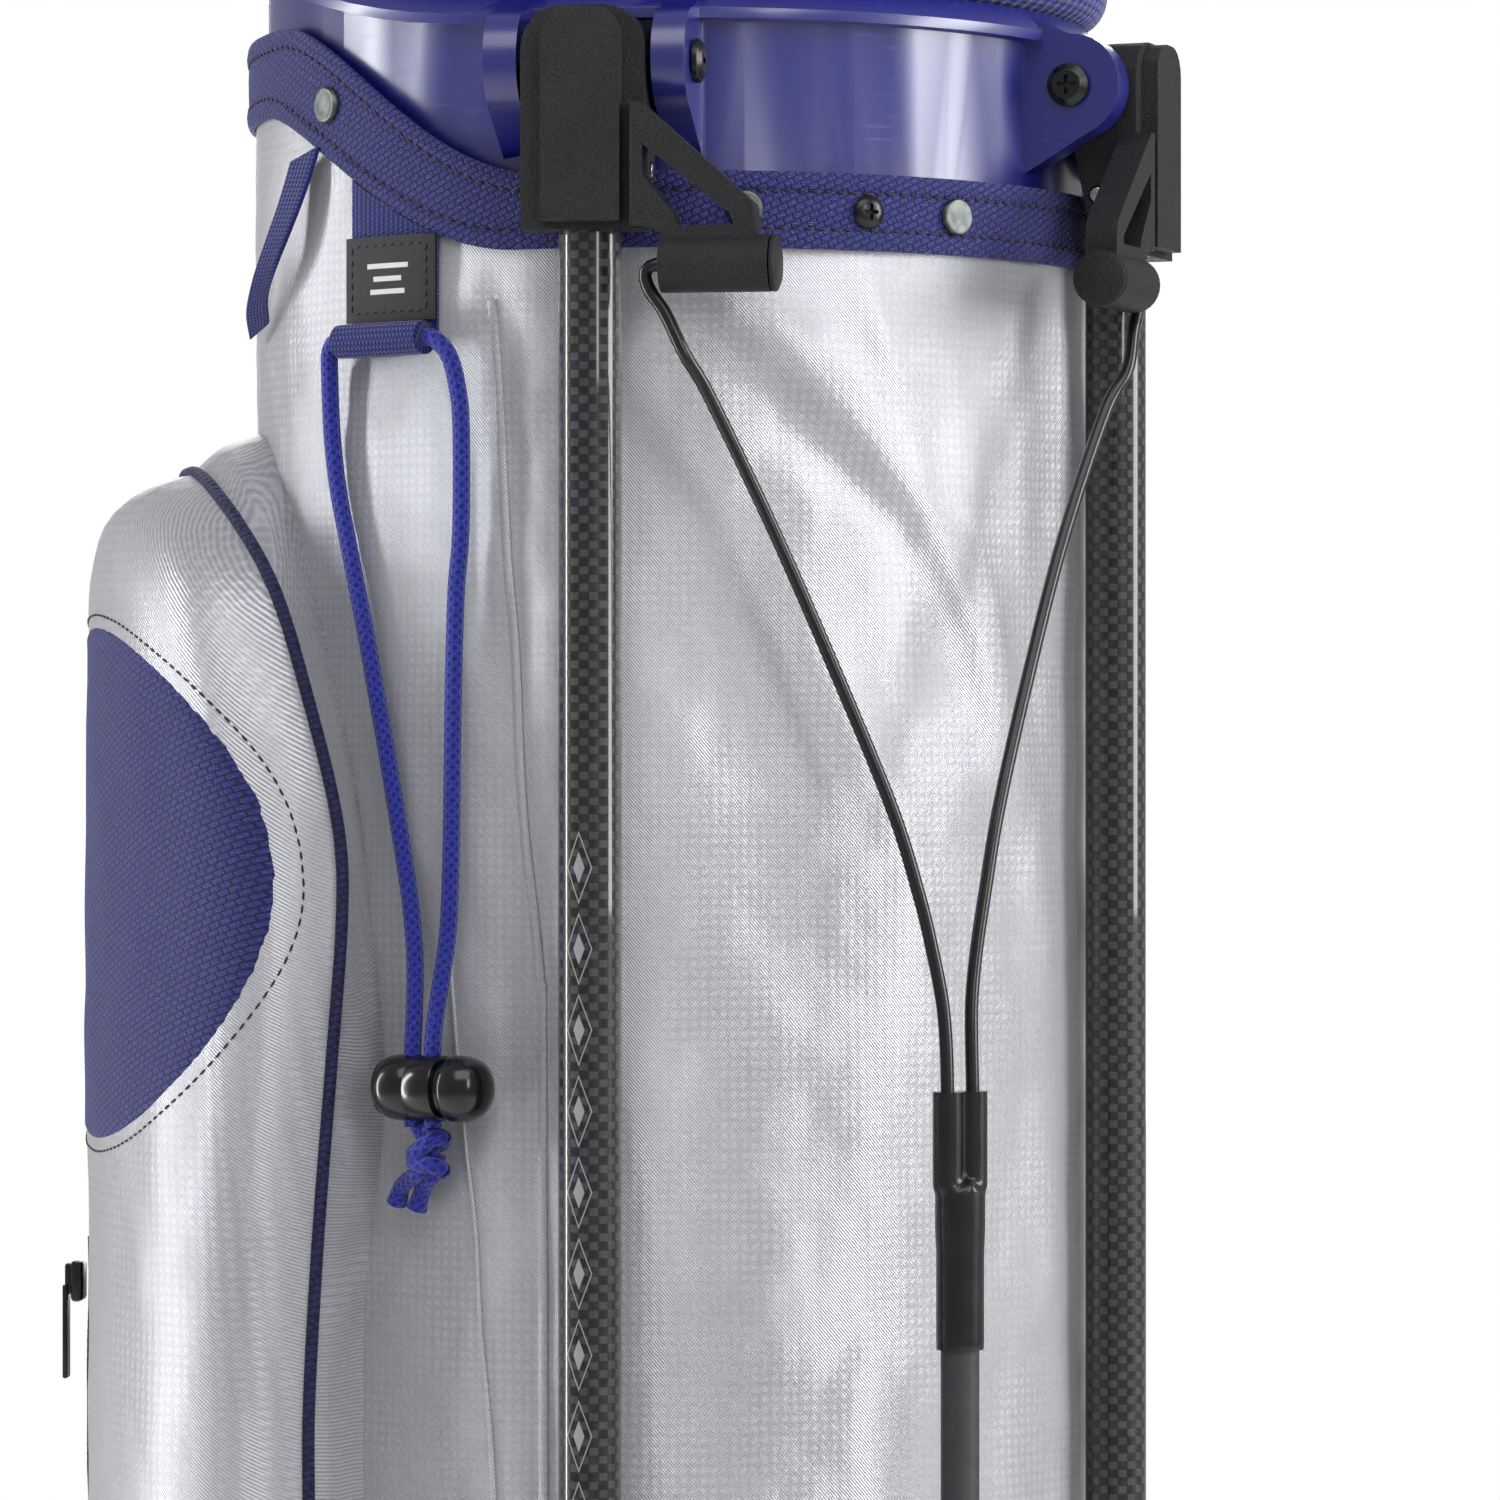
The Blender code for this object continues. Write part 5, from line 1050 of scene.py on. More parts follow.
def leg_tube(side_name):
    """Tube with its lacquered outside; the map runs once round it, its seam at the back."""
    turn = leg_frame(side_name)
    spin = math.radians(-9.5 if side_name == "left" else -68.0)

    def place(u, v):
        a = math.tau * u + math.pi / 2 + spin
        z = TUBE_BOTTOM + (TUBE_TOP - TUBE_BOTTOM) * v
        return turn @ Vector((TUBE_RADIUS * math.cos(a), TUBE_AT + TUBE_RADIUS * math.sin(a), z))

    bm = capped(surface(72, 60, place, (math.tau * TUBE_RADIUS, TUBE_TOP - TUBE_BOTTOM)))
    material = carbon_finish(f"carbon_{side_name}", side_name == "left")
    material.node_tree.nodes["Principled BSDF"].inputs["Coat Weight"].default_value = 1.0
    return piece(f"carbon_tube_{side_name}", bm, material, f"leg_{side_name}", "carbon",
        f"leg_tube_{side_name}", crease=50)


rubber_finish, rubber_place = new_finish("black_rubber", Specular_IOR_Level=0.3)
dress(
    rubber_finish, rubber_place.noise(500.0).mix((0.012, 0.012, 0.012, 1), (0.035, 0.034, 0.033, 1)),
    rubber_place.noise(90.0) * 0.2 + 0.65, rubber_place.noise(1600.0, 2.0), 0.00012,
)
FOOT_PROFILE = (
    (0.0, 0.0520), (0.0030, 0.0520), (0.0055, 0.0524), (0.0078, 0.0540), (0.0088, 0.0560), (0.0092, 0.0585),
    (0.0092, 0.0640), (0.0086, 0.0645), (0.0086, 0.0655), (0.0092, 0.0660), (0.0092, 0.0710),
    (0.0086, 0.0715),
    (0.0086, 0.0725), (0.0092, 0.0730), (0.0092, 0.0960), (0.0088, 0.0990), (0.0083, 0.1000),
    (0.0076, 0.1000),
)
for side_name in ("left", "right"):
    leg_tube(side_name)
    foot = turned([(radius, height - PIVOT_HEIGHT) for radius, height in FOOT_PROFILE])
    bmesh.ops.transform(foot, matrix=leg_frame(side_name) @ Matrix.Translation((0, TUBE_AT, 0)),
        verts=foot.verts[:])
    piece(f"rubber_foot_{side_name}", foot, rubber_finish, f"leg_{side_name}", "rubber",
        f"leg_foot_{side_name}", crease=40)


# ---------------------------------------------------------------- spring wires
# Two 3.2 mm spring wires with a black powder coat. Each hooks into its bracket's barrel and both
# run down into the shrink sleeve.
WIRE_RADIUS = 0.0016
WIRE_SPACING = 0.00345
ROD_FORWARD = 0.1375
SLEEVE_TOP = 0.588
BARREL_DEPTH = 0.015
BARREL_DROP = -0.049
WIRE_SHAPE = (
    (0.00, 0.000, 0.00), (0.06, 0.001, 0.02), (0.111, 0.010, 0.05), (0.170, 0.040, 0.09),
    (0.236, 0.085, 0.13),
    (0.340, 0.172, 0.23), (0.492, 0.342, 0.42), (0.674, 0.564, 0.64), (0.839, 0.800, 0.80),
)
WIRE_HOOK = ((0.0246, -0.0700), (0.0200, -0.0605), (0.0164, -0.0552), (0.0152, -0.0512), (0.0172, -0.0492))
powder_coat, powder_place = new_finish(
    "black_powder_coat", Base_Color=(0.006, 0.006, 0.007, 1), Coat_Weight=0.25, Coat_Roughness=0.10,
    Specular_IOR_Level=0.4,
)
dress(powder_coat, None, powder_place.noise(700.0) * 0.2 + 0.22, powder_place.noise(900.0, 2.0), 0.00004)
for side, side_name in ((1, "left"), (-1, "right")):
    turn = leg_frame(side_name)
    low_end = Vector((-side * WIRE_SPACING, -ROD_FORWARD, SLEEVE_TOP))
    way = turn @ Vector((side * 0.0166, -BARREL_DEPTH, BARREL_DROP)) - low_end
    wire_points = [low_end - Vector((0.0, 0.0, 0.010))]
    wire_points += [low_end + Vector((way.x * s, way.y * i, way.z * r)) for r, s, i in WIRE_SHAPE]
    wire_points += [turn @ Vector((side * x, -BARREL_DEPTH, z)) for x, z in WIRE_HOOK]
    wire_points += [turn @ Vector((side * x, -BARREL_DEPTH, BARREL_DROP)) for x in (0.0225, 0.0275, 0.034)]
    piece(
        f"spring_wire_{side_name}", tube(smooth_route(wire_points, 0.0016), WIRE_RADIUS, 20), powder_coat,
        f"wire_{side_name}", "coated_steel", f"wire_{side_name}",
    )


# ---------------------------------------------------------------- shrink sleeve and rod
# Semi-gloss heat-shrink tube drawn tight over the two wires' ends, where it keeps two lobes, and
# over the top of the steel rod. The rod is painted satin black and ends in a moulded clevis.
SLEEVE_BOTTOM = 0.5276
SLEEVE_NOTCH = 0.565
SLEEVE_RADIUS = 0.0059
LOBE_RADIUS = 0.0036
LOBE_CENTRE = 0.0033
ROD_RADIUS = 0.00455


def sleeve_radius(turn, z):
    """Distance from the sleeve's axis to its skin."""
    c, s = abs(math.cos(turn)), math.sin(turn)
    lobes = LOBE_CENTRE * c + math.sqrt(max(LOBE_RADIUS**2 - (LOBE_CENTRE * s) ** 2, 0.0))
    if LOBE_RADIUS**2 < (LOBE_CENTRE * s) ** 2:
        lobes = LOBE_RADIUS * 0.5
    lobes = max(lobes, 0.0021)
    notch = SLEEVE_NOTCH + 0.0030 * (1 - c)
    share = smooth_step((notch + 0.001 - z) / 0.003)
    neck = 1.0 - 0.045 * smooth_step((SLEEVE_NOTCH - 0.008 - z) / 0.008)
    return lobes * (1 - share) + SLEEVE_RADIUS * neck * share


def sleeve_place(u, v):
    turn = math.tau * u
    z = SLEEVE_BOTTOM + (SLEEVE_TOP - SLEEVE_BOTTOM) * v
    radius = sleeve_radius(turn, z)
    lip = 0.0003 * (smooth_step((SLEEVE_BOTTOM + 0.0012 - z) / 0.0012))
    return Vector((radius * math.cos(turn), -ROD_FORWARD + (radius - lip) * math.sin(turn), z))


sleeve = capped(surface(64, 70, sleeve_place))
shrink, shrink_place = new_finish(
    "shrink_tube", Base_Color=(0.005, 0.005, 0.006, 1), Coat_Weight=0.3, Coat_Roughness=0.12,
    Specular_IOR_Level=0.35
)
dress(
    shrink, None, shrink_place.noise(160.0, 2.0) * 0.25 + 0.22,
    shrink_place.streaks((500.0, 500.0, 90.0), 2.0), 0.0001,
)
piece("heat_shrink", sleeve, shrink, "actuator", "gloss_black", "shrink_sleeve", crease=55)
satin_paint, satin_place = new_finish("satin_black_paint", Specular_IOR_Level=0.5)
dress(
    satin_paint, satin_place.noise(300.0, 2.0).mix((0.018, 0.018, 0.021, 1), (0.045, 0.045, 0.050, 1)),
    satin_place.noise(800.0) * 0.15 + 0.42, satin_place.noise(1500.0, 1.0), 0.00005,
)
rod_route = [Vector((0, -ROD_FORWARD, z / 100)) for z in (2.4, 2.6, 10, 20, 30, 40, 50, 55.0)]
piece("painted_rod", tube(rod_route, ROD_RADIUS, 40), satin_paint, "actuator", "coated_steel", "actuator_rod")
moulding("rod_clevis", "rod_end", grained_nylon, "actuator", "black_plastic", 0.0006)


# ---------------------------------------------------------------- towel loop
# Royal-blue nylon webbing sewn under the band, its free end rolled round the drawcord and tacked.
# A plain black woven patch with three neutral bars is stitched over it. A second loop of the same
# webbing stands out further round the bag.
TOWEL_ANGLE = -68.0
TOWEL_WIDTH = 0.027
ROLL_RADIUS = 0.0042
ROLL_HEIGHT = PIVOT_HEIGHT - 0.0636
ROLL_STANDOFF = 0.005
# Webbing colours: its mid blue, a painted shade colour between the picks and a painted highlight colour for
# their tops.
WEB_BLUE = (0.010, 0.018, 0.27, 1.0)
WEB_SHADE = (0.002, 0.004, 0.07, 1.0)
WEB_HIGHLIGHT = (0.04, 0.06, 0.45, 1.0)


def webbing_finish(name, shade, mid, highlight, rib=0.00115, column=0.0014):
    """Plain-woven webbing on the piece's own map: square picks in columns, painted darker between them
    (painted shade) and a little lighter on top (painted highlight).
    """
    material, uv = new_finish(name, "UV", Sheen_Weight=0.3, Sheen_Roughness=0.4, Specular_IOR_Level=0.3)
    u, v, _ = uv.parts()
    shift = (u / column).math("FLOOR") * 0.5
    pick = (v / rib + shift).wave() * (u / column).wave()
    fuzz = uv.streaks((2600.0, 2600.0, 1.0))
    relief = pick + fuzz * 0.25
    # Painted shade between the picks and a painted highlight on their tops, both varied by random fuzz.
    colour = relief.between(0.1, 0.9).mix(shade, mid)
    colour = (relief.between(0.75, 1.2) * 0.55).mix(colour, highlight)
    return dress(material, colour, fuzz * 0.25 + 0.48, relief, 0.00035)


royal_webbing = webbing_finish("royal_webbing", WEB_SHADE, WEB_BLUE, WEB_HIGHLIGHT)
# Black webbing: its own painted shade, mid and painted highlight colours.
black_webbing = webbing_finish(
    "black_webbing", (0.003, 0.003, 0.004, 1), (0.016, 0.016, 0.018, 1), (0.05, 0.05, 0.055, 1)
)


def slab(route, sides, width, thickness, edge_round=0.35, across=10):
    """A flat strap with rounded edges, its middle line along a route and its width along sides."""
    last = len(route) - 1
    outs = []
    for i, side in enumerate(sides):
        way = (route[min(i + 1, last)] - route[max(i - 1, 0)]).normalized()
        outs.append(side.cross(way).normalized())
    ring = across * 2 + 4

    def place(u, v):
        i = round(v * last)
        step = round(u * ring) % ring
        half = width / 2
        if step <= across + 1:
            share, face = (step - 0.5) / across, 1
        else:
            share, face = 1 - (step - across - 2.5) / across, -1
        share = min(max(share, -0.0), 1.0)
        if step in (0, across + 1, across + 2, ring - 1):
            share = 1.0 if step in (across + 1, across + 2) else 0.0
            lift = thickness / 2 * (1 - edge_round * 1.6)
        else:
            lift = thickness / 2
            share = 0.03 + share * 0.94
        return route[i] + sides[i] * (half * (2 * share - 1)) + outs[i] * (lift * face)

    return capped(surface(ring, last, place, (2 * width, length_of(route))))


def bent_strap(angle, radius_of, heights, width, thickness):
    """A strap flat against the bag, bent round it: radius_of(height) to its inner face."""
    rows = [heights[0] + (heights[1] - heights[0]) * i / 24 for i in range(25)]
    ring = 28

    def place(u, v):
        z = rows[round(v * 24)]
        step = round(u * ring) % ring
        share = step / 13 if step <= 13 else 1 - (step - 14) / 13
        outer = 1.0 if 0 < step < 13 else (0.75 if step in (0, 13) else (0.25 if step in (14, 27) else 0.0))
        a = angle + math.degrees((share - 0.5) * width / BODY_RADIUS)
        top = band_bottom(a) - 0.0002
        return around(a, radius_of(z) + thickness * outer, min(z, top))

    return capped(surface(ring, 24, place, (2 * width, heights[1] - heights[0])))


towel = bent_strap(
    TOWEL_ANGLE, lambda z: BODY_RADIUS + 0.0003, (ROLL_HEIGHT, PIVOT_HEIGHT - 0.020), TOWEL_WIDTH, 0.0017
)
piece("towel_tab", towel, royal_webbing, "bag", "webbing_blue", "towel_webbing", crease=60)
roll_middle = around(TOWEL_ANGLE, BODY_RADIUS + ROLL_STANDOFF, ROLL_HEIGHT)
roll_side = around(TOWEL_ANGLE + 90, 1.0, 0.0)
roll_route = [roll_middle + roll_side * (TOWEL_WIDTH * (i / 16 - 0.5)) for i in range(17)]
roll_bm = tube(roll_route, lambda s: ROLL_RADIUS * (0.97 + 0.03 * math.sin(math.pi * s)), 28,
    Vector((0, 0, 1)))
piece("towel_roll", roll_bm, royal_webbing, "bag", "webbing_blue", crease=60)

LABEL_LOW = ROLL_HEIGHT + ROLL_RADIUS + 0.0003
LABEL_HEIGHT = 0.0205
LABEL_INSIDE = BODY_RADIUS + 0.0003 + 0.0017 + 0.0003
label_bm = bent_strap(TOWEL_ANGLE, lambda z: LABEL_INSIDE, (LABEL_LOW, LABEL_LOW + LABEL_HEIGHT),
    TOWEL_WIDTH * 1.03, 0.001)
patch, patch_place = new_finish("woven_patch", Sheen_Weight=0.3, Sheen_Roughness=0.4, Specular_IOR_Level=0.3)
label_s, label_z = unrolled(patch_place)
label_s = label_s - math.radians(TOWEL_ANGLE) * BODY_RADIUS * 1000
label_z = label_z - (LABEL_LOW + LABEL_HEIGHT / 2) * 1000
satin = ((label_s + label_z * 2.0) / 0.9).wave()
bars = None
for middle, half in ((3.1, 6.4), (0.0, 4.4), (-3.1, 5.4)):
    bar = (label_z - middle).math("ABSOLUTE").between(0.66, 0.58)
    bar = bar * label_s.math("ABSOLUTE").between(half, half - 0.1)
    bars = bar if bars is None else bars + bar
patch_fuzz = patch_place.noise(2400.0)
# Painted highlight: the raised satin picks are painted a little lighter than the black between them, with
# random fuzz.
patch_colour = (satin * 0.6 + patch_fuzz * 0.4).mix((0.006, 0.006, 0.008, 1), (0.030, 0.030, 0.036, 1))
patch_colour = bars.mix(patch_colour, (0.66, 0.66, 0.67, 1))
dress(patch, patch_colour, patch_fuzz * 0.2 + 0.5, satin * 0.5 + bars + patch_fuzz * 0.3, 0.00012)
piece("towel_label", label_bm, patch, "bag", "black_webbing", "label_patch", crease=60)
label_rows = []
for side in (-1, 1):
    a = TOWEL_ANGLE + side * math.degrees((TOWEL_WIDTH / 2 - 0.0020) / BODY_RADIUS)
    rows = [around(a, LABEL_INSIDE + 0.00105, LABEL_LOW + 0.002 + 0.0165 * i / 6) for i in range(7)]
    label_rows += stitched_line(rows, 0.0027)
    rows = [
        around(TOWEL_ANGLE + math.degrees((TOWEL_WIDTH - 0.005) * (i / 8 - 0.5) / BODY_RADIUS),
            LABEL_INSIDE + 0.00105,
               LABEL_LOW + LABEL_HEIGHT / 2 + side * (LABEL_HEIGHT / 2 - 0.0022)) for i in range(9)
    ]
    label_rows += stitched_line(rows, 0.0027)
stitches("label_stitching", label_rows, "bag", "black_webbing", size=0.00030, length=0.0021)

SIDE_LOOP = (
    (-84.5, 0.0030, -0.0170), (-85.5, 0.0050, -0.0260), (-87.5, 0.0070, -0.0360), (-91.0, 0.0075, -0.0450),
    (-95.5, 0.0060, -0.0520), (-99.5, 0.0030, -0.0580),
)
loop_route = smooth_route(cord_points(SIDE_LOOP), 0.0015)
loop_sides = []
for point in loop_route:
    bearing = math.degrees(math.atan2(point.x, -point.y))
    loop_sides.append((around(bearing + 90, 0.80, 0.0) + around(bearing, -0.15, 0.25)).normalized())
piece("side_loop_webbing", slab(loop_route, loop_sides, 0.011, 0.0016), royal_webbing, "bag", "webbing_blue",
    "side_loop")


# ---------------------------------------------------------------- pockets
# Each pocket is a gusset of the bag's silver or navy cloth, sewn to the wall and flaring outwards, and a
# full front panel sewn to it over a navy piping. The apparel pocket has an oval navy inset on its front.
PIPING_RADIUS = 0.0016
PER_DEGREE = 0.00187


def half_to_loop(half):
    """A closed outline from its half, listed as (offset in degrees, height) from the bottom to the top."""
    return [(-a, z) for a, z in half] + [(a, z) for a, z in reversed(half[1:-1])]


def even_loop(points, count):
    """Points at an even spacing round a closed outline, its corners rounded."""
    closed = [Vector((a * PER_DEGREE, z, 0)) for a, z in points]
    route = smooth_route([*closed, closed[0]], length_of([*closed, closed[0]]) / count)
    return [(p.x / PER_DEGREE, p.y) for p in route[:-1]]


def pocket(name, centre, base_half, front_half, front_radius, depth, swell, spine, material, slot, nodes,
    creases):
    """Gusset and front panel as one closed shape. Returns the front's height function and its edge."""
    count, rings, gusset = 150, 26, 8
    base = even_loop(half_to_loop(base_half), count)
    front = even_loop(half_to_loop(front_half), count)
    front_line = [(math.radians(a) * front_radius, z) for a, z in [*front, front[0]]]

    def front_at(offset, z):
        away, _ = reach_to(front_line, math.radians(offset) * front_radius, z)
        seat = Vector((offset * 0.05 + centre, z * 16.0, depth * 90.0))
        wrinkle = creases * (noise.noise(seat) + 0.5 * noise.noise(seat * 2.7)) * smooth_step(away / 0.012)
        return front_radius + depth * (1.0 - math.exp(-away / swell)) + wrinkle

    def place(u, v):
        i = round(u * count) % count
        ring = round(v * (rings + gusset))
        if ring == 0:
            return around(centre + base[i][0], BODY_RADIUS - 0.0002, base[i][1])
        if ring <= gusset:
            t = (ring - 1) / (gusset - 1)
            a = base[i][0] + (front[i][0] - base[i][0]) * t
            z = base[i][1] + (front[i][1] - base[i][1]) * t
            pucker = noise.noise(Vector((i * 0.35, ring * 0.5, depth * 50)))
            bulge = 0.0016 * math.sin(math.pi * t) + 0.0007 * pucker
            radius = BODY_RADIUS + 0.0008 + (front_radius - BODY_RADIUS - 0.0008) * t ** 0.85
            return around(centre + a * (1 + bulge * 4 * math.sin(math.pi * t)), radius, z + bulge)
        t = ((ring - gusset) / rings) ** 1.35
        a = front[i][0] * (1 - t)
        z = front[i][1] + (min(max(front[i][1], spine[0]), spine[1]) - front[i][1]) * t
        return around(centre + a, front_at(a, z), z)

    bm = capped(surface(count, rings + gusset, place))
    bmesh.ops.remove_doubles(bm, verts=bm.verts[:], dist=0.00002)
    shown = piece(name, bm, material, "bag", slot, *nodes, crease=60)
    edge = [around(centre + a, front_radius + 0.0006, z) for a, z in [*front, front[0]]]
    return front_at, edge


def piping(name, edge, material):
    """A thin cord in a folded strip, all round a panel's edge."""
    route = smooth_route(edge, 0.003)
    shape = tube([*route[:-1], route[0]], PIPING_RADIUS, 12, ends=False)
    return piece(name, shape, material, "bag", "navy_fabric", crease=180)


# The piping's duck, with its own painted shade and painted highlight colours.
navy_plain = duck_finish("navy_piping", (0.003, 0.003, 0.02, 1), (0.012, 0.014, 0.085, 1),
    (0.05, 0.06, 0.2, 1))
APPAREL_CENTRE, BALL_CENTRE, ACCESSORY_CENTRE = -106.0, 187.0, 190.0
APPAREL_BASE = (
    (0, 0.152), (14, 0.153), (26, 0.160), (32, 0.175), (33.5, 0.200), (33.5, 0.300), (33.0, 0.420),
    (32.3, 0.500),
    (32.6, 0.538), (35.5, 0.569), (36.4, 0.590), (34.2, 0.624), (30.3, 0.661), (26.8, 0.681), (21.1, 0.709),
    (13.4, 0.732), (6.0, 0.744), (0.0, 0.747),
)
APPAREL_FRONT = (
    (0, 0.156), (14, 0.157), (25, 0.164), (31, 0.180), (33.0, 0.205), (33.2, 0.300), (32.9, 0.420),
    (32.3, 0.488),
    (32.4, 0.513), (33.9, 0.553), (35.9, 0.593), (37.5, 0.628), (36.9, 0.650), (32.8, 0.677), (26.5, 0.706),
    (18.0, 0.724), (8.0, 0.735), (0.0, 0.737),
)
apparel_at, apparel_edge = pocket(
    "apparel_pocket_cloth", APPAREL_CENTRE, APPAREL_BASE, APPAREL_FRONT, 0.1245, 0.0245, 0.0065, (0.26, 0.62),
    silver_ripstop, "silver_fabric", ["apparel_pocket"], 0.0011,
)
piping("apparel_piping", apparel_edge, navy_plain)

INSET_MIDDLE, INSET_HALF, INSET_HEIGHT, INSET_SEAM = 0.635, 34.6, 0.064, 1.04


def inset_place(u, v):
    turn = math.tau * u
    reach = v ** 0.8
    offset = INSET_HALF * reach * math.cos(turn)
    z = INSET_MIDDLE + INSET_HEIGHT * reach * math.sin(turn)
    return around(APPAREL_CENTRE + offset, apparel_at(offset, z) + (0.0005 if v < 0.99 else -0.0003), z)


piece("apparel_inset", surface(120, 26, inset_place, closed=0.00002), navy_duck, "bag", "navy_fabric",
    crease=60)
inset_ring = []
for i in range(97):
    turn = math.tau * i / 96
    offset = INSET_HALF * INSET_SEAM * math.cos(turn)
    z = INSET_MIDDLE + INSET_HEIGHT * INSET_SEAM * math.sin(turn)
    inset_ring.append(around(APPAREL_CENTRE + offset, apparel_at(offset, z) + 0.0001, z))
stitches("inset_stitching", stitched_line(inset_ring, 0.0032), "bag", "navy_fabric", size=0.00034)


def round_half(half, bottom, top, corner=0.03):
    """Half of a pocket's outline: half its width in degrees, its ends and the height of its corners."""
    rows = [(0.0, bottom)]
    for turn in (math.pi / 2 * t for t in (0.2, 0.5, 0.8, 1.0)):
        rows.append((half * math.sin(turn) ** 0.6, bottom + corner * 0.6 * (1 - math.cos(turn))))
    rows.append((half, (bottom + top) / 2))
    for turn in (math.pi / 2 * t for t in (0.0, 0.25, 0.5, 0.8)):
        rows.append((half * math.cos(turn) ** 0.6, top - corner * (1 - math.sin(turn))))
    return tuple(rows + [(0.0, top)])


ball_at, ball_edge = pocket(
    "ball_pocket_cloth", BALL_CENTRE, round_half(26.0, 0.112, 0.328), round_half(26.5, 0.116, 0.322), 0.128,
    0.0235, 0.008,
    (0.16, 0.27), silver_ripstop, "silver_fabric", ["ball_pocket"], 0.0010,
)
piping("ball_piping", ball_edge, navy_plain)
accessory_at, accessory_edge = pocket(
    "accessory_pocket_cloth", ACCESSORY_CENTRE, round_half(22.5, 0.502, 0.698),
    round_half(22.5, 0.506, 0.693), 0.118, 0.0145,
    0.008, (0.55, 0.65), navy_duck, "navy_fabric", ["accessory_pocket"], 0.0008,
)
piping("accessory_piping", accessory_edge, navy_plain)


def flap_place(u, v):
    offset = -22.5 + 45.0 * u
    low = 0.640 - 0.010 * math.cos(math.pi * (u - 0.5))
    z = 0.690 + (low - 0.690) * v
    bow = 0.0024 + 0.0012 * v - 0.0020 * abs(2 * u - 1) ** 6
    return around(ACCESSORY_CENTRE + offset, accessory_at(offset * 0.97, min(z, 0.689)) + bow, z)


flap = surface(48, 20, flap_place)
flap_obj = piece("accessory_flap", flap, navy_duck, "bag", "navy_fabric", crease=60)
flap_wall = flap_obj.modifiers.new("two layers", "SOLIDIFY")
flap_wall.thickness = 0.0014
flap_wall.offset = 0.0
flap_rows = stitched_line([flap_place(0.03 + 0.94 * i / 40, 0.93) + around(ACCESSORY_CENTRE, 0.0008,
    0) for i in range(41)], 0.0033)
stitches("flap_stitching", flap_rows, "bag", "navy_fabric")


# ---------------------------------------------------------------- zips
# Black coil zips down the side of the two closed pockets: a woven tape each side of the interlocked
# coil, and a die-cast slider with a cord pull that runs along it.
# Zip tape: its own painted shade, mid and painted highlight colours.
tape_finish = webbing_finish("zip_tape", (0.003, 0.003, 0.004, 1), (0.014, 0.014, 0.016, 1),
    (0.04, 0.04, 0.045, 1), 0.0007, 0.0009)


def zip_set(label, node_tape, node_slider, body, centre, front_at):
    """Tape, coil and slider of one zip, from the places of the CAD's own."""
    low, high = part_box(node_tape)
    middle = (Vector(low) + Vector(high)) / 2
    angle = math.degrees(math.atan2(middle.x, -middle.y))
    offset = (angle - centre + 180) % 360 - 180
    heights = [low[2] + (high[2] - low[2]) * i / 40 for i in range(41)]
    route = [around(angle, front_at(offset, z) + 0.0011, z) for z in heights]
    across = around(angle + 90, 1.0, 0.0)
    piece(f"{label}_zip", slab(route, [across] * 41, 0.012, 0.0009), tape_finish, "bag", "black_webbing",
        node_tape)
    coil = bmesh.new()
    step = 0.0012
    out = around(angle, 1.0, 0.0)
    even = smooth_route(route, step)
    for number, point in enumerate(even):
        shift = across * (0.0007 if number % 2 else -0.0007)
        turn = Matrix((across * 0.0016, out * 0.0007, Vector((0, 0, 0.00052)))).transposed().to_4x4()
        turn.translation = point + out * 0.0006 + shift
        bmesh.ops.create_icosphere(coil, subdivisions=1, radius=1.0, matrix=turn)
    piece(f"{label}_zip_coil", coil, tape_finish, "bag", "black_webbing", crease=180)
    low, high = (Vector(corner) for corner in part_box(node_slider))
    seat = (low + high) / 2
    slider = bmesh.new()
    for size, at in (
        ((0.0088, 0.0030, 0.0105), (0, 0.0, 0)), ((0.0026, 0.0022, 0.0080), (0, -0.0024, 0.0004)),
        ((0.0050, 0.0013, 0.0240), (0, -0.0032, -0.0130)),
    ):
        made = bmesh.ops.create_cube(slider, size=1.0,
            matrix=Matrix.Translation(at) @ Matrix.Diagonal((*size, 1)))
        edges = {e for v in made["verts"] for e in v.link_edges}
        bmesh.ops.bevel(slider, geom=list(edges), offset=min(size) * 0.35, segments=2, profile=0.5,
            affect="EDGES", material=-1)
    turn = Matrix.Translation(seat) @ Matrix.Rotation(math.radians(angle), 4, "Z")
    bmesh.ops.transform(slider, matrix=turn, verts=slider.verts[:])
    piece(f"{label}_zip_slider_cast", slider, blackened, body, "steel", node_slider)


zip_set("apparel", "apparel_zip_tape", "apparel_zip_slider", "apparel_slider", APPAREL_CENTRE, apparel_at)
zip_set("ball", "ball_zip_tape", "ball_zip_slider", "ball_slider", BALL_CENTRE, ball_at)


# ---------------------------------------------------------------- straps and hip pad
# Two padded shoulder straps of air mesh over foam hang down the bag's side. Each has webbing above,
# an acetal ladder lock below and a loose webbing tail. A hip pad of the same mesh is sewn beside them.
mesh_cloth, mesh_place = new_finish("air_mesh", Sheen_Weight=0.4, Sheen_Roughness=0.5, Specular_IOR_Level=0.2)
MESH_CELL = 2.2
mesh_u, mesh_v = (way / MESH_CELL for way in unrolled(mesh_place))
mesh_holes = mesh_u.wave() * mesh_v.wave() + (mesh_u + 0.5).wave() * (mesh_v + 0.5).wave()
mesh_fuzz = mesh_place.noise(1900.0)
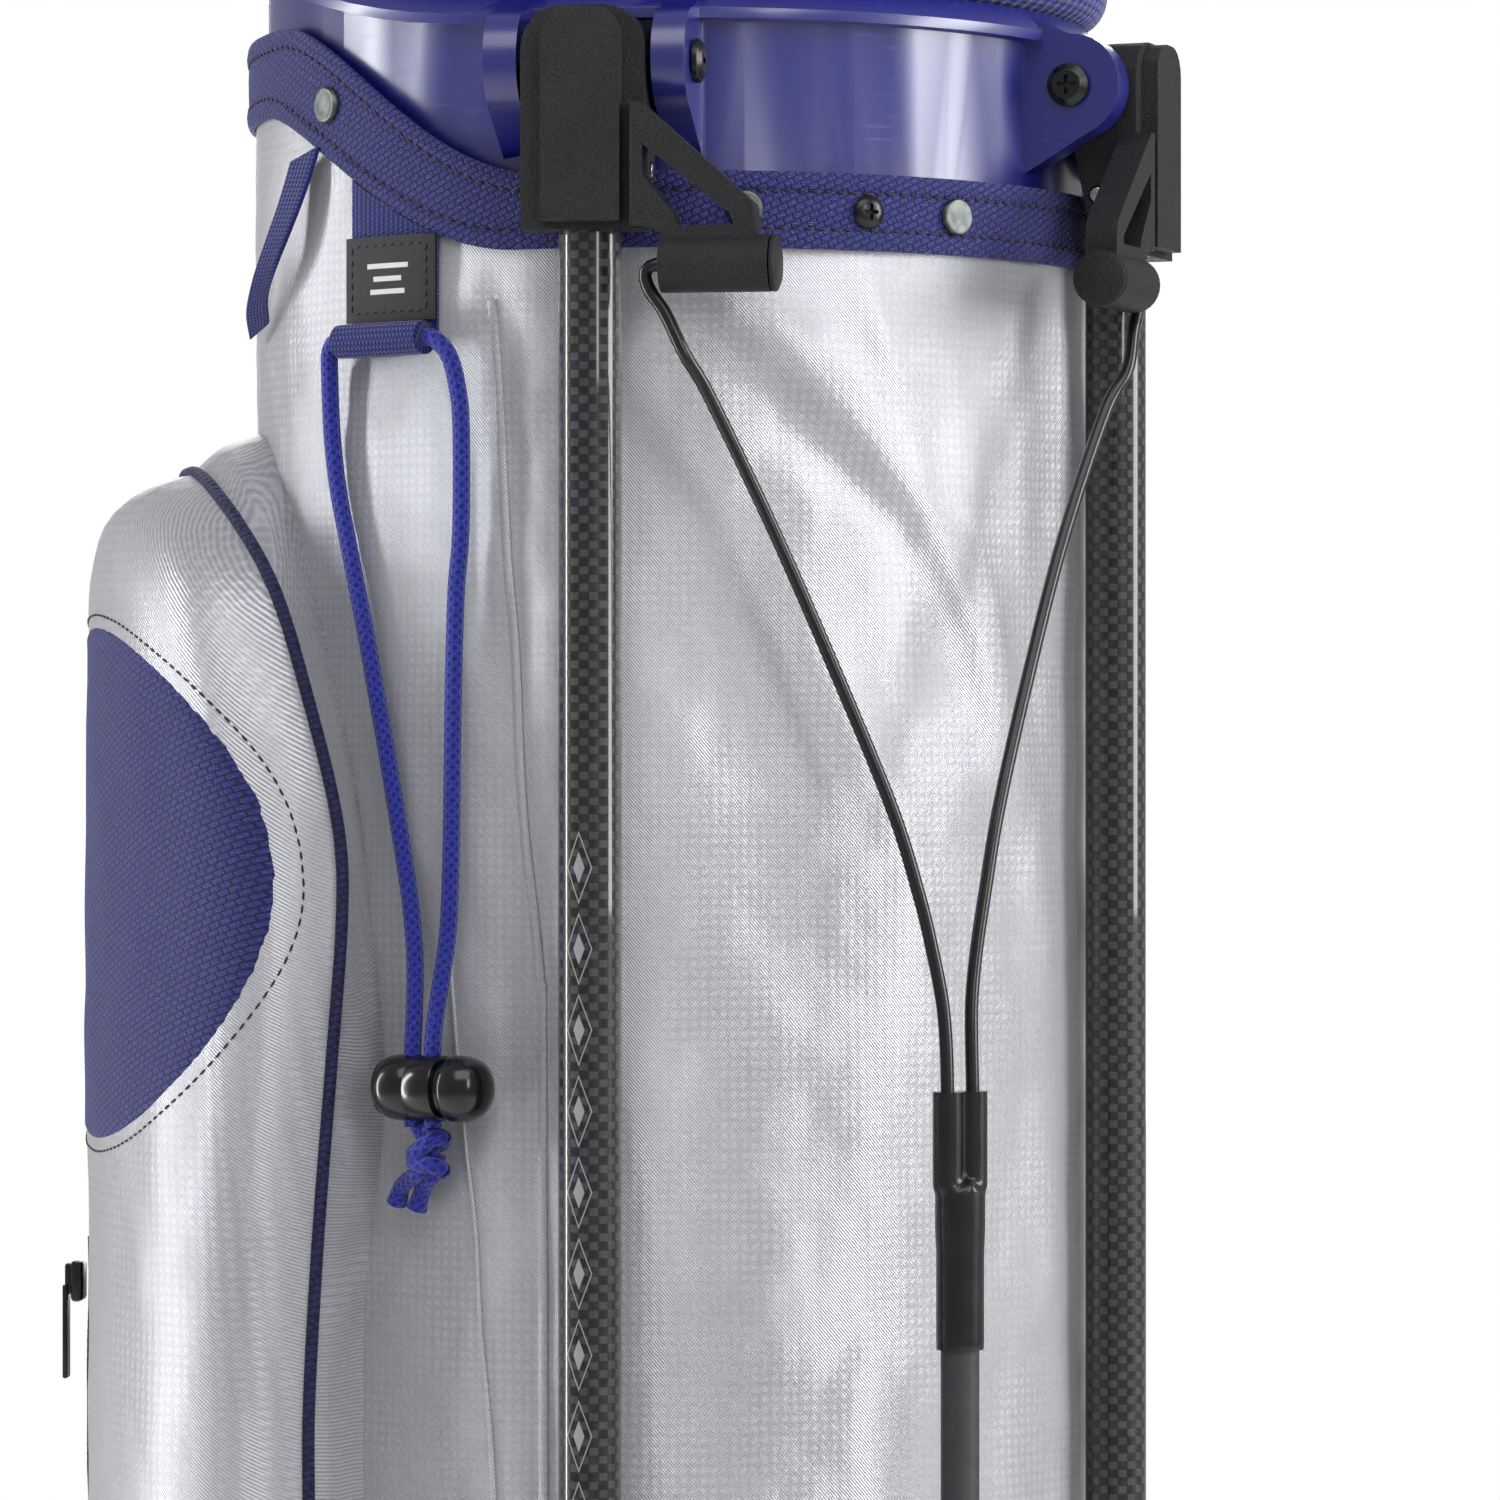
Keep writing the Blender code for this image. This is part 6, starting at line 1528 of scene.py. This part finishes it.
# Painted shade: the mesh's holes are painted near black and the yarn between them grey, with random fuzz.
dress(
    mesh_cloth,
    (mesh_holes + mesh_fuzz * 0.3).between(0.2, 1.1).mix((0.050, 0.050, 0.055, 1), (0.008, 0.008, 0.009, 1)),
    mesh_fuzz * 0.2 + 0.68, mesh_fuzz * 0.3 - mesh_holes, 0.0006,
)
STRAP_CENTRE_RADIUS = BODY_RADIUS + 0.0003 + 0.006 + 0.0025
STRAP_TOP = PIVOT_HEIGHT - 0.095
STRAP_BOTTOM = STRAP_TOP - 0.215


def cushion(name, angle, radius, heights, width, thickness, node, rim=0.0016):
    """A padded strip with a flat bound edge: its middle plane on the bag at a radius."""
    rows, ring = 48, 36
    low, high = heights
    side = around(angle + 90, 1.0, 0.0)
    out = around(angle, 1.0, 0.0)

    def place(u, v):
        turn = math.tau * u
        z = low + (high - low) * v
        end = min(1.0, (v * (high - low) / 0.022) ** 0.5, ((1 - v) * (high - low) / 0.022) ** 0.5)
        half = (width / 2) * (0.45 + 0.55 * end)
        x = math.copysign(abs(math.cos(turn)) ** 0.55, math.cos(turn)) * half
        full = (1 - abs(x / half) ** 5) * min(1.0, 0.2 + 0.8 * end)
        pinch = 1.0 - 0.22 * math.exp(-((abs(x) - half * 0.62) / 0.0022) ** 2)
        half_high = rim / 2 + (thickness - rim) / 2 * full * pinch
        y = math.copysign(abs(math.sin(turn)) ** 0.7, math.sin(turn)) * half_high
        y += 0.0004 * noise.noise(Vector((x * 90, z * 60, thickness * 40))) * full
        return around(angle, radius, z) + side * x + out * y

    bm = capped(surface(ring, rows, place))
    obj = piece(name, bm, mesh_cloth, "bag", "black_webbing", node, crease=60)
    return obj


# Acetal: its black and a paler painted highlight colour for the tops of its finer grain.
acetal = grained_finish("satin_acetal", (0.012, 0.012, 0.013, 1), (0.03, 0.03, 0.032, 1), 0.28, 0.6, 0.00003)
for strap, strap_angle in (("a", 108.0), ("b", 144.0)):
    cushion(
        f"strap_cushion_{strap}", strap_angle, STRAP_CENTRE_RADIUS,
        (STRAP_BOTTOM + 0.0002, STRAP_TOP - 0.0002), 0.050,
        0.0118, f"strap_pad_{strap}",
    )
    strap_side = around(strap_angle + 90, 1.0, 0.0)
    web_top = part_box(f"strap_webbing_{strap}")[1][2]
    near = BODY_RADIUS + 0.0016 + 0.0009
    route = smooth_route(
        [around(strap_angle, near, web_top - 0.0003),
            around(strap_angle, STRAP_CENTRE_RADIUS, STRAP_TOP + 0.012),
         around(strap_angle, STRAP_CENTRE_RADIUS, STRAP_TOP - 0.004)], 0.002,
    )
    piece(
        f"strap_web_{strap}", slab(route, [strap_side] * len(route), 0.025, 0.0017), black_webbing, "bag",
        "black_webbing", f"strap_webbing_{strap}",
    )
    tail_top = STRAP_BOTTOM - 0.0006 - 0.030
    route = smooth_route(
        [around(strap_angle, STRAP_CENTRE_RADIUS, tail_top + 0.012),
            around(strap_angle, STRAP_CENTRE_RADIUS, tail_top),
         around(strap_angle, STRAP_CENTRE_RADIUS - 0.002, tail_top - 0.03),
         around(strap_angle, near + 0.0004, tail_top - 0.0875),
         around(strap_angle, near + 0.0004, tail_top - 0.125)],
        0.003,
    )
    piece(
        f"strap_end_{strap}", slab(route, [strap_side] * len(route), 0.020, 0.0016), black_webbing, "bag",
        "black_webbing", f"strap_tail_{strap}",
    )
    moulding(f"ladder_lock_{strap}", f"strap_buckle_{strap}", acetal, "bag", "gloss_black", 0.0009, 3)
cushion("hip_cushion", 127.0, BODY_RADIUS + 0.0096, (0.291, 0.459), 0.038, 0.0165, "hip_pad", 0.003)


# ---------------------------------------------------------------- grab handle
# A bar of rubber over a steel core, bent to stand clear of the collar's back, with moulded grip ribs.
HANDLE_ANGLE, HANDLE_REACH = 24, 0.036


def grab_handle():
    climb = -BAND_TOP_DROP + BAND_TOP_CLIMB - BAND_BOTTOM_DROP + BAND_BOTTOM_CLIMB
    height = PIVOT_HEIGHT + climb / 2
    start = BAND_RADIUS + 0.0003 + 0.0012
    points = []
    for side in (-1, 1):
        leg = [around(180 + side * HANDLE_ANGLE, start, height),
            around(180 + side * HANDLE_ANGLE, start + 0.012, height)]
        leg.append(around(180 + side * HANDLE_ANGLE * 0.72, start + HANDLE_REACH * 0.8, height))
        points += leg if side < 0 else [around(180, start + HANDLE_REACH, height)] + leg[::-1]
    route = smooth_route(points, 0.0006)

    def girth(share):
        grip = smooth_step((0.30 - abs(share - 0.5)) / 0.02)
        rib = math.cos(math.tau * share * 34) * 0.5 + 0.5
        return 0.0076 - 0.0007 * grip * rib + 0.0003 * grip

    return piece("handle_grip", tube(route, girth, 28), rubber_finish, "bag", "black_plastic", "grab_handle",
        crease=50)


grab_handle()


# ---------------------------------------------------------------- base, foot plate and divider
# The base cup, the foot plate and the rod's parts are moulded from the same grained nylon. The
# divider is gloss ABS, its floor a foam disc, and the stays and pins are steel.
for moulded, node, body, width in (
    ("base_moulding", "base_cup", "bag", 0.0012), ("foot_treadle", "foot_plate", "foot", 0.0007),
):
    moulding(moulded, node, grained_finish(f"{moulded}_nylon", size=1.4), body, "black_plastic", width)
moulding("divider_moulding", "divider_frame", acetal, "bag", "gloss_black", 0.0007)
foam_finish, foam_place = new_finish("black_foam", Specular_IOR_Level=0.2)
dress(
    foam_finish, foam_place.noise(900.0, 2.0).mix((0.006, 0.006, 0.007, 1), (0.06, 0.06, 0.065, 1)),
    foam_place.noise(300.0) * 0.1 + 0.85, foam_place.noise(1300.0, 3.0), 0.0004,
)
for node, material in (
    ("floor_pad", foam_finish), ("spine_stay_left", satin_paint), ("spine_stay_right", satin_paint),
    ("foot_hinge_pin", steel_finish), ("rod_pin", steel_finish),
):
    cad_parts[node].data.materials.clear()
    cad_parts[node].data.materials.append(material)
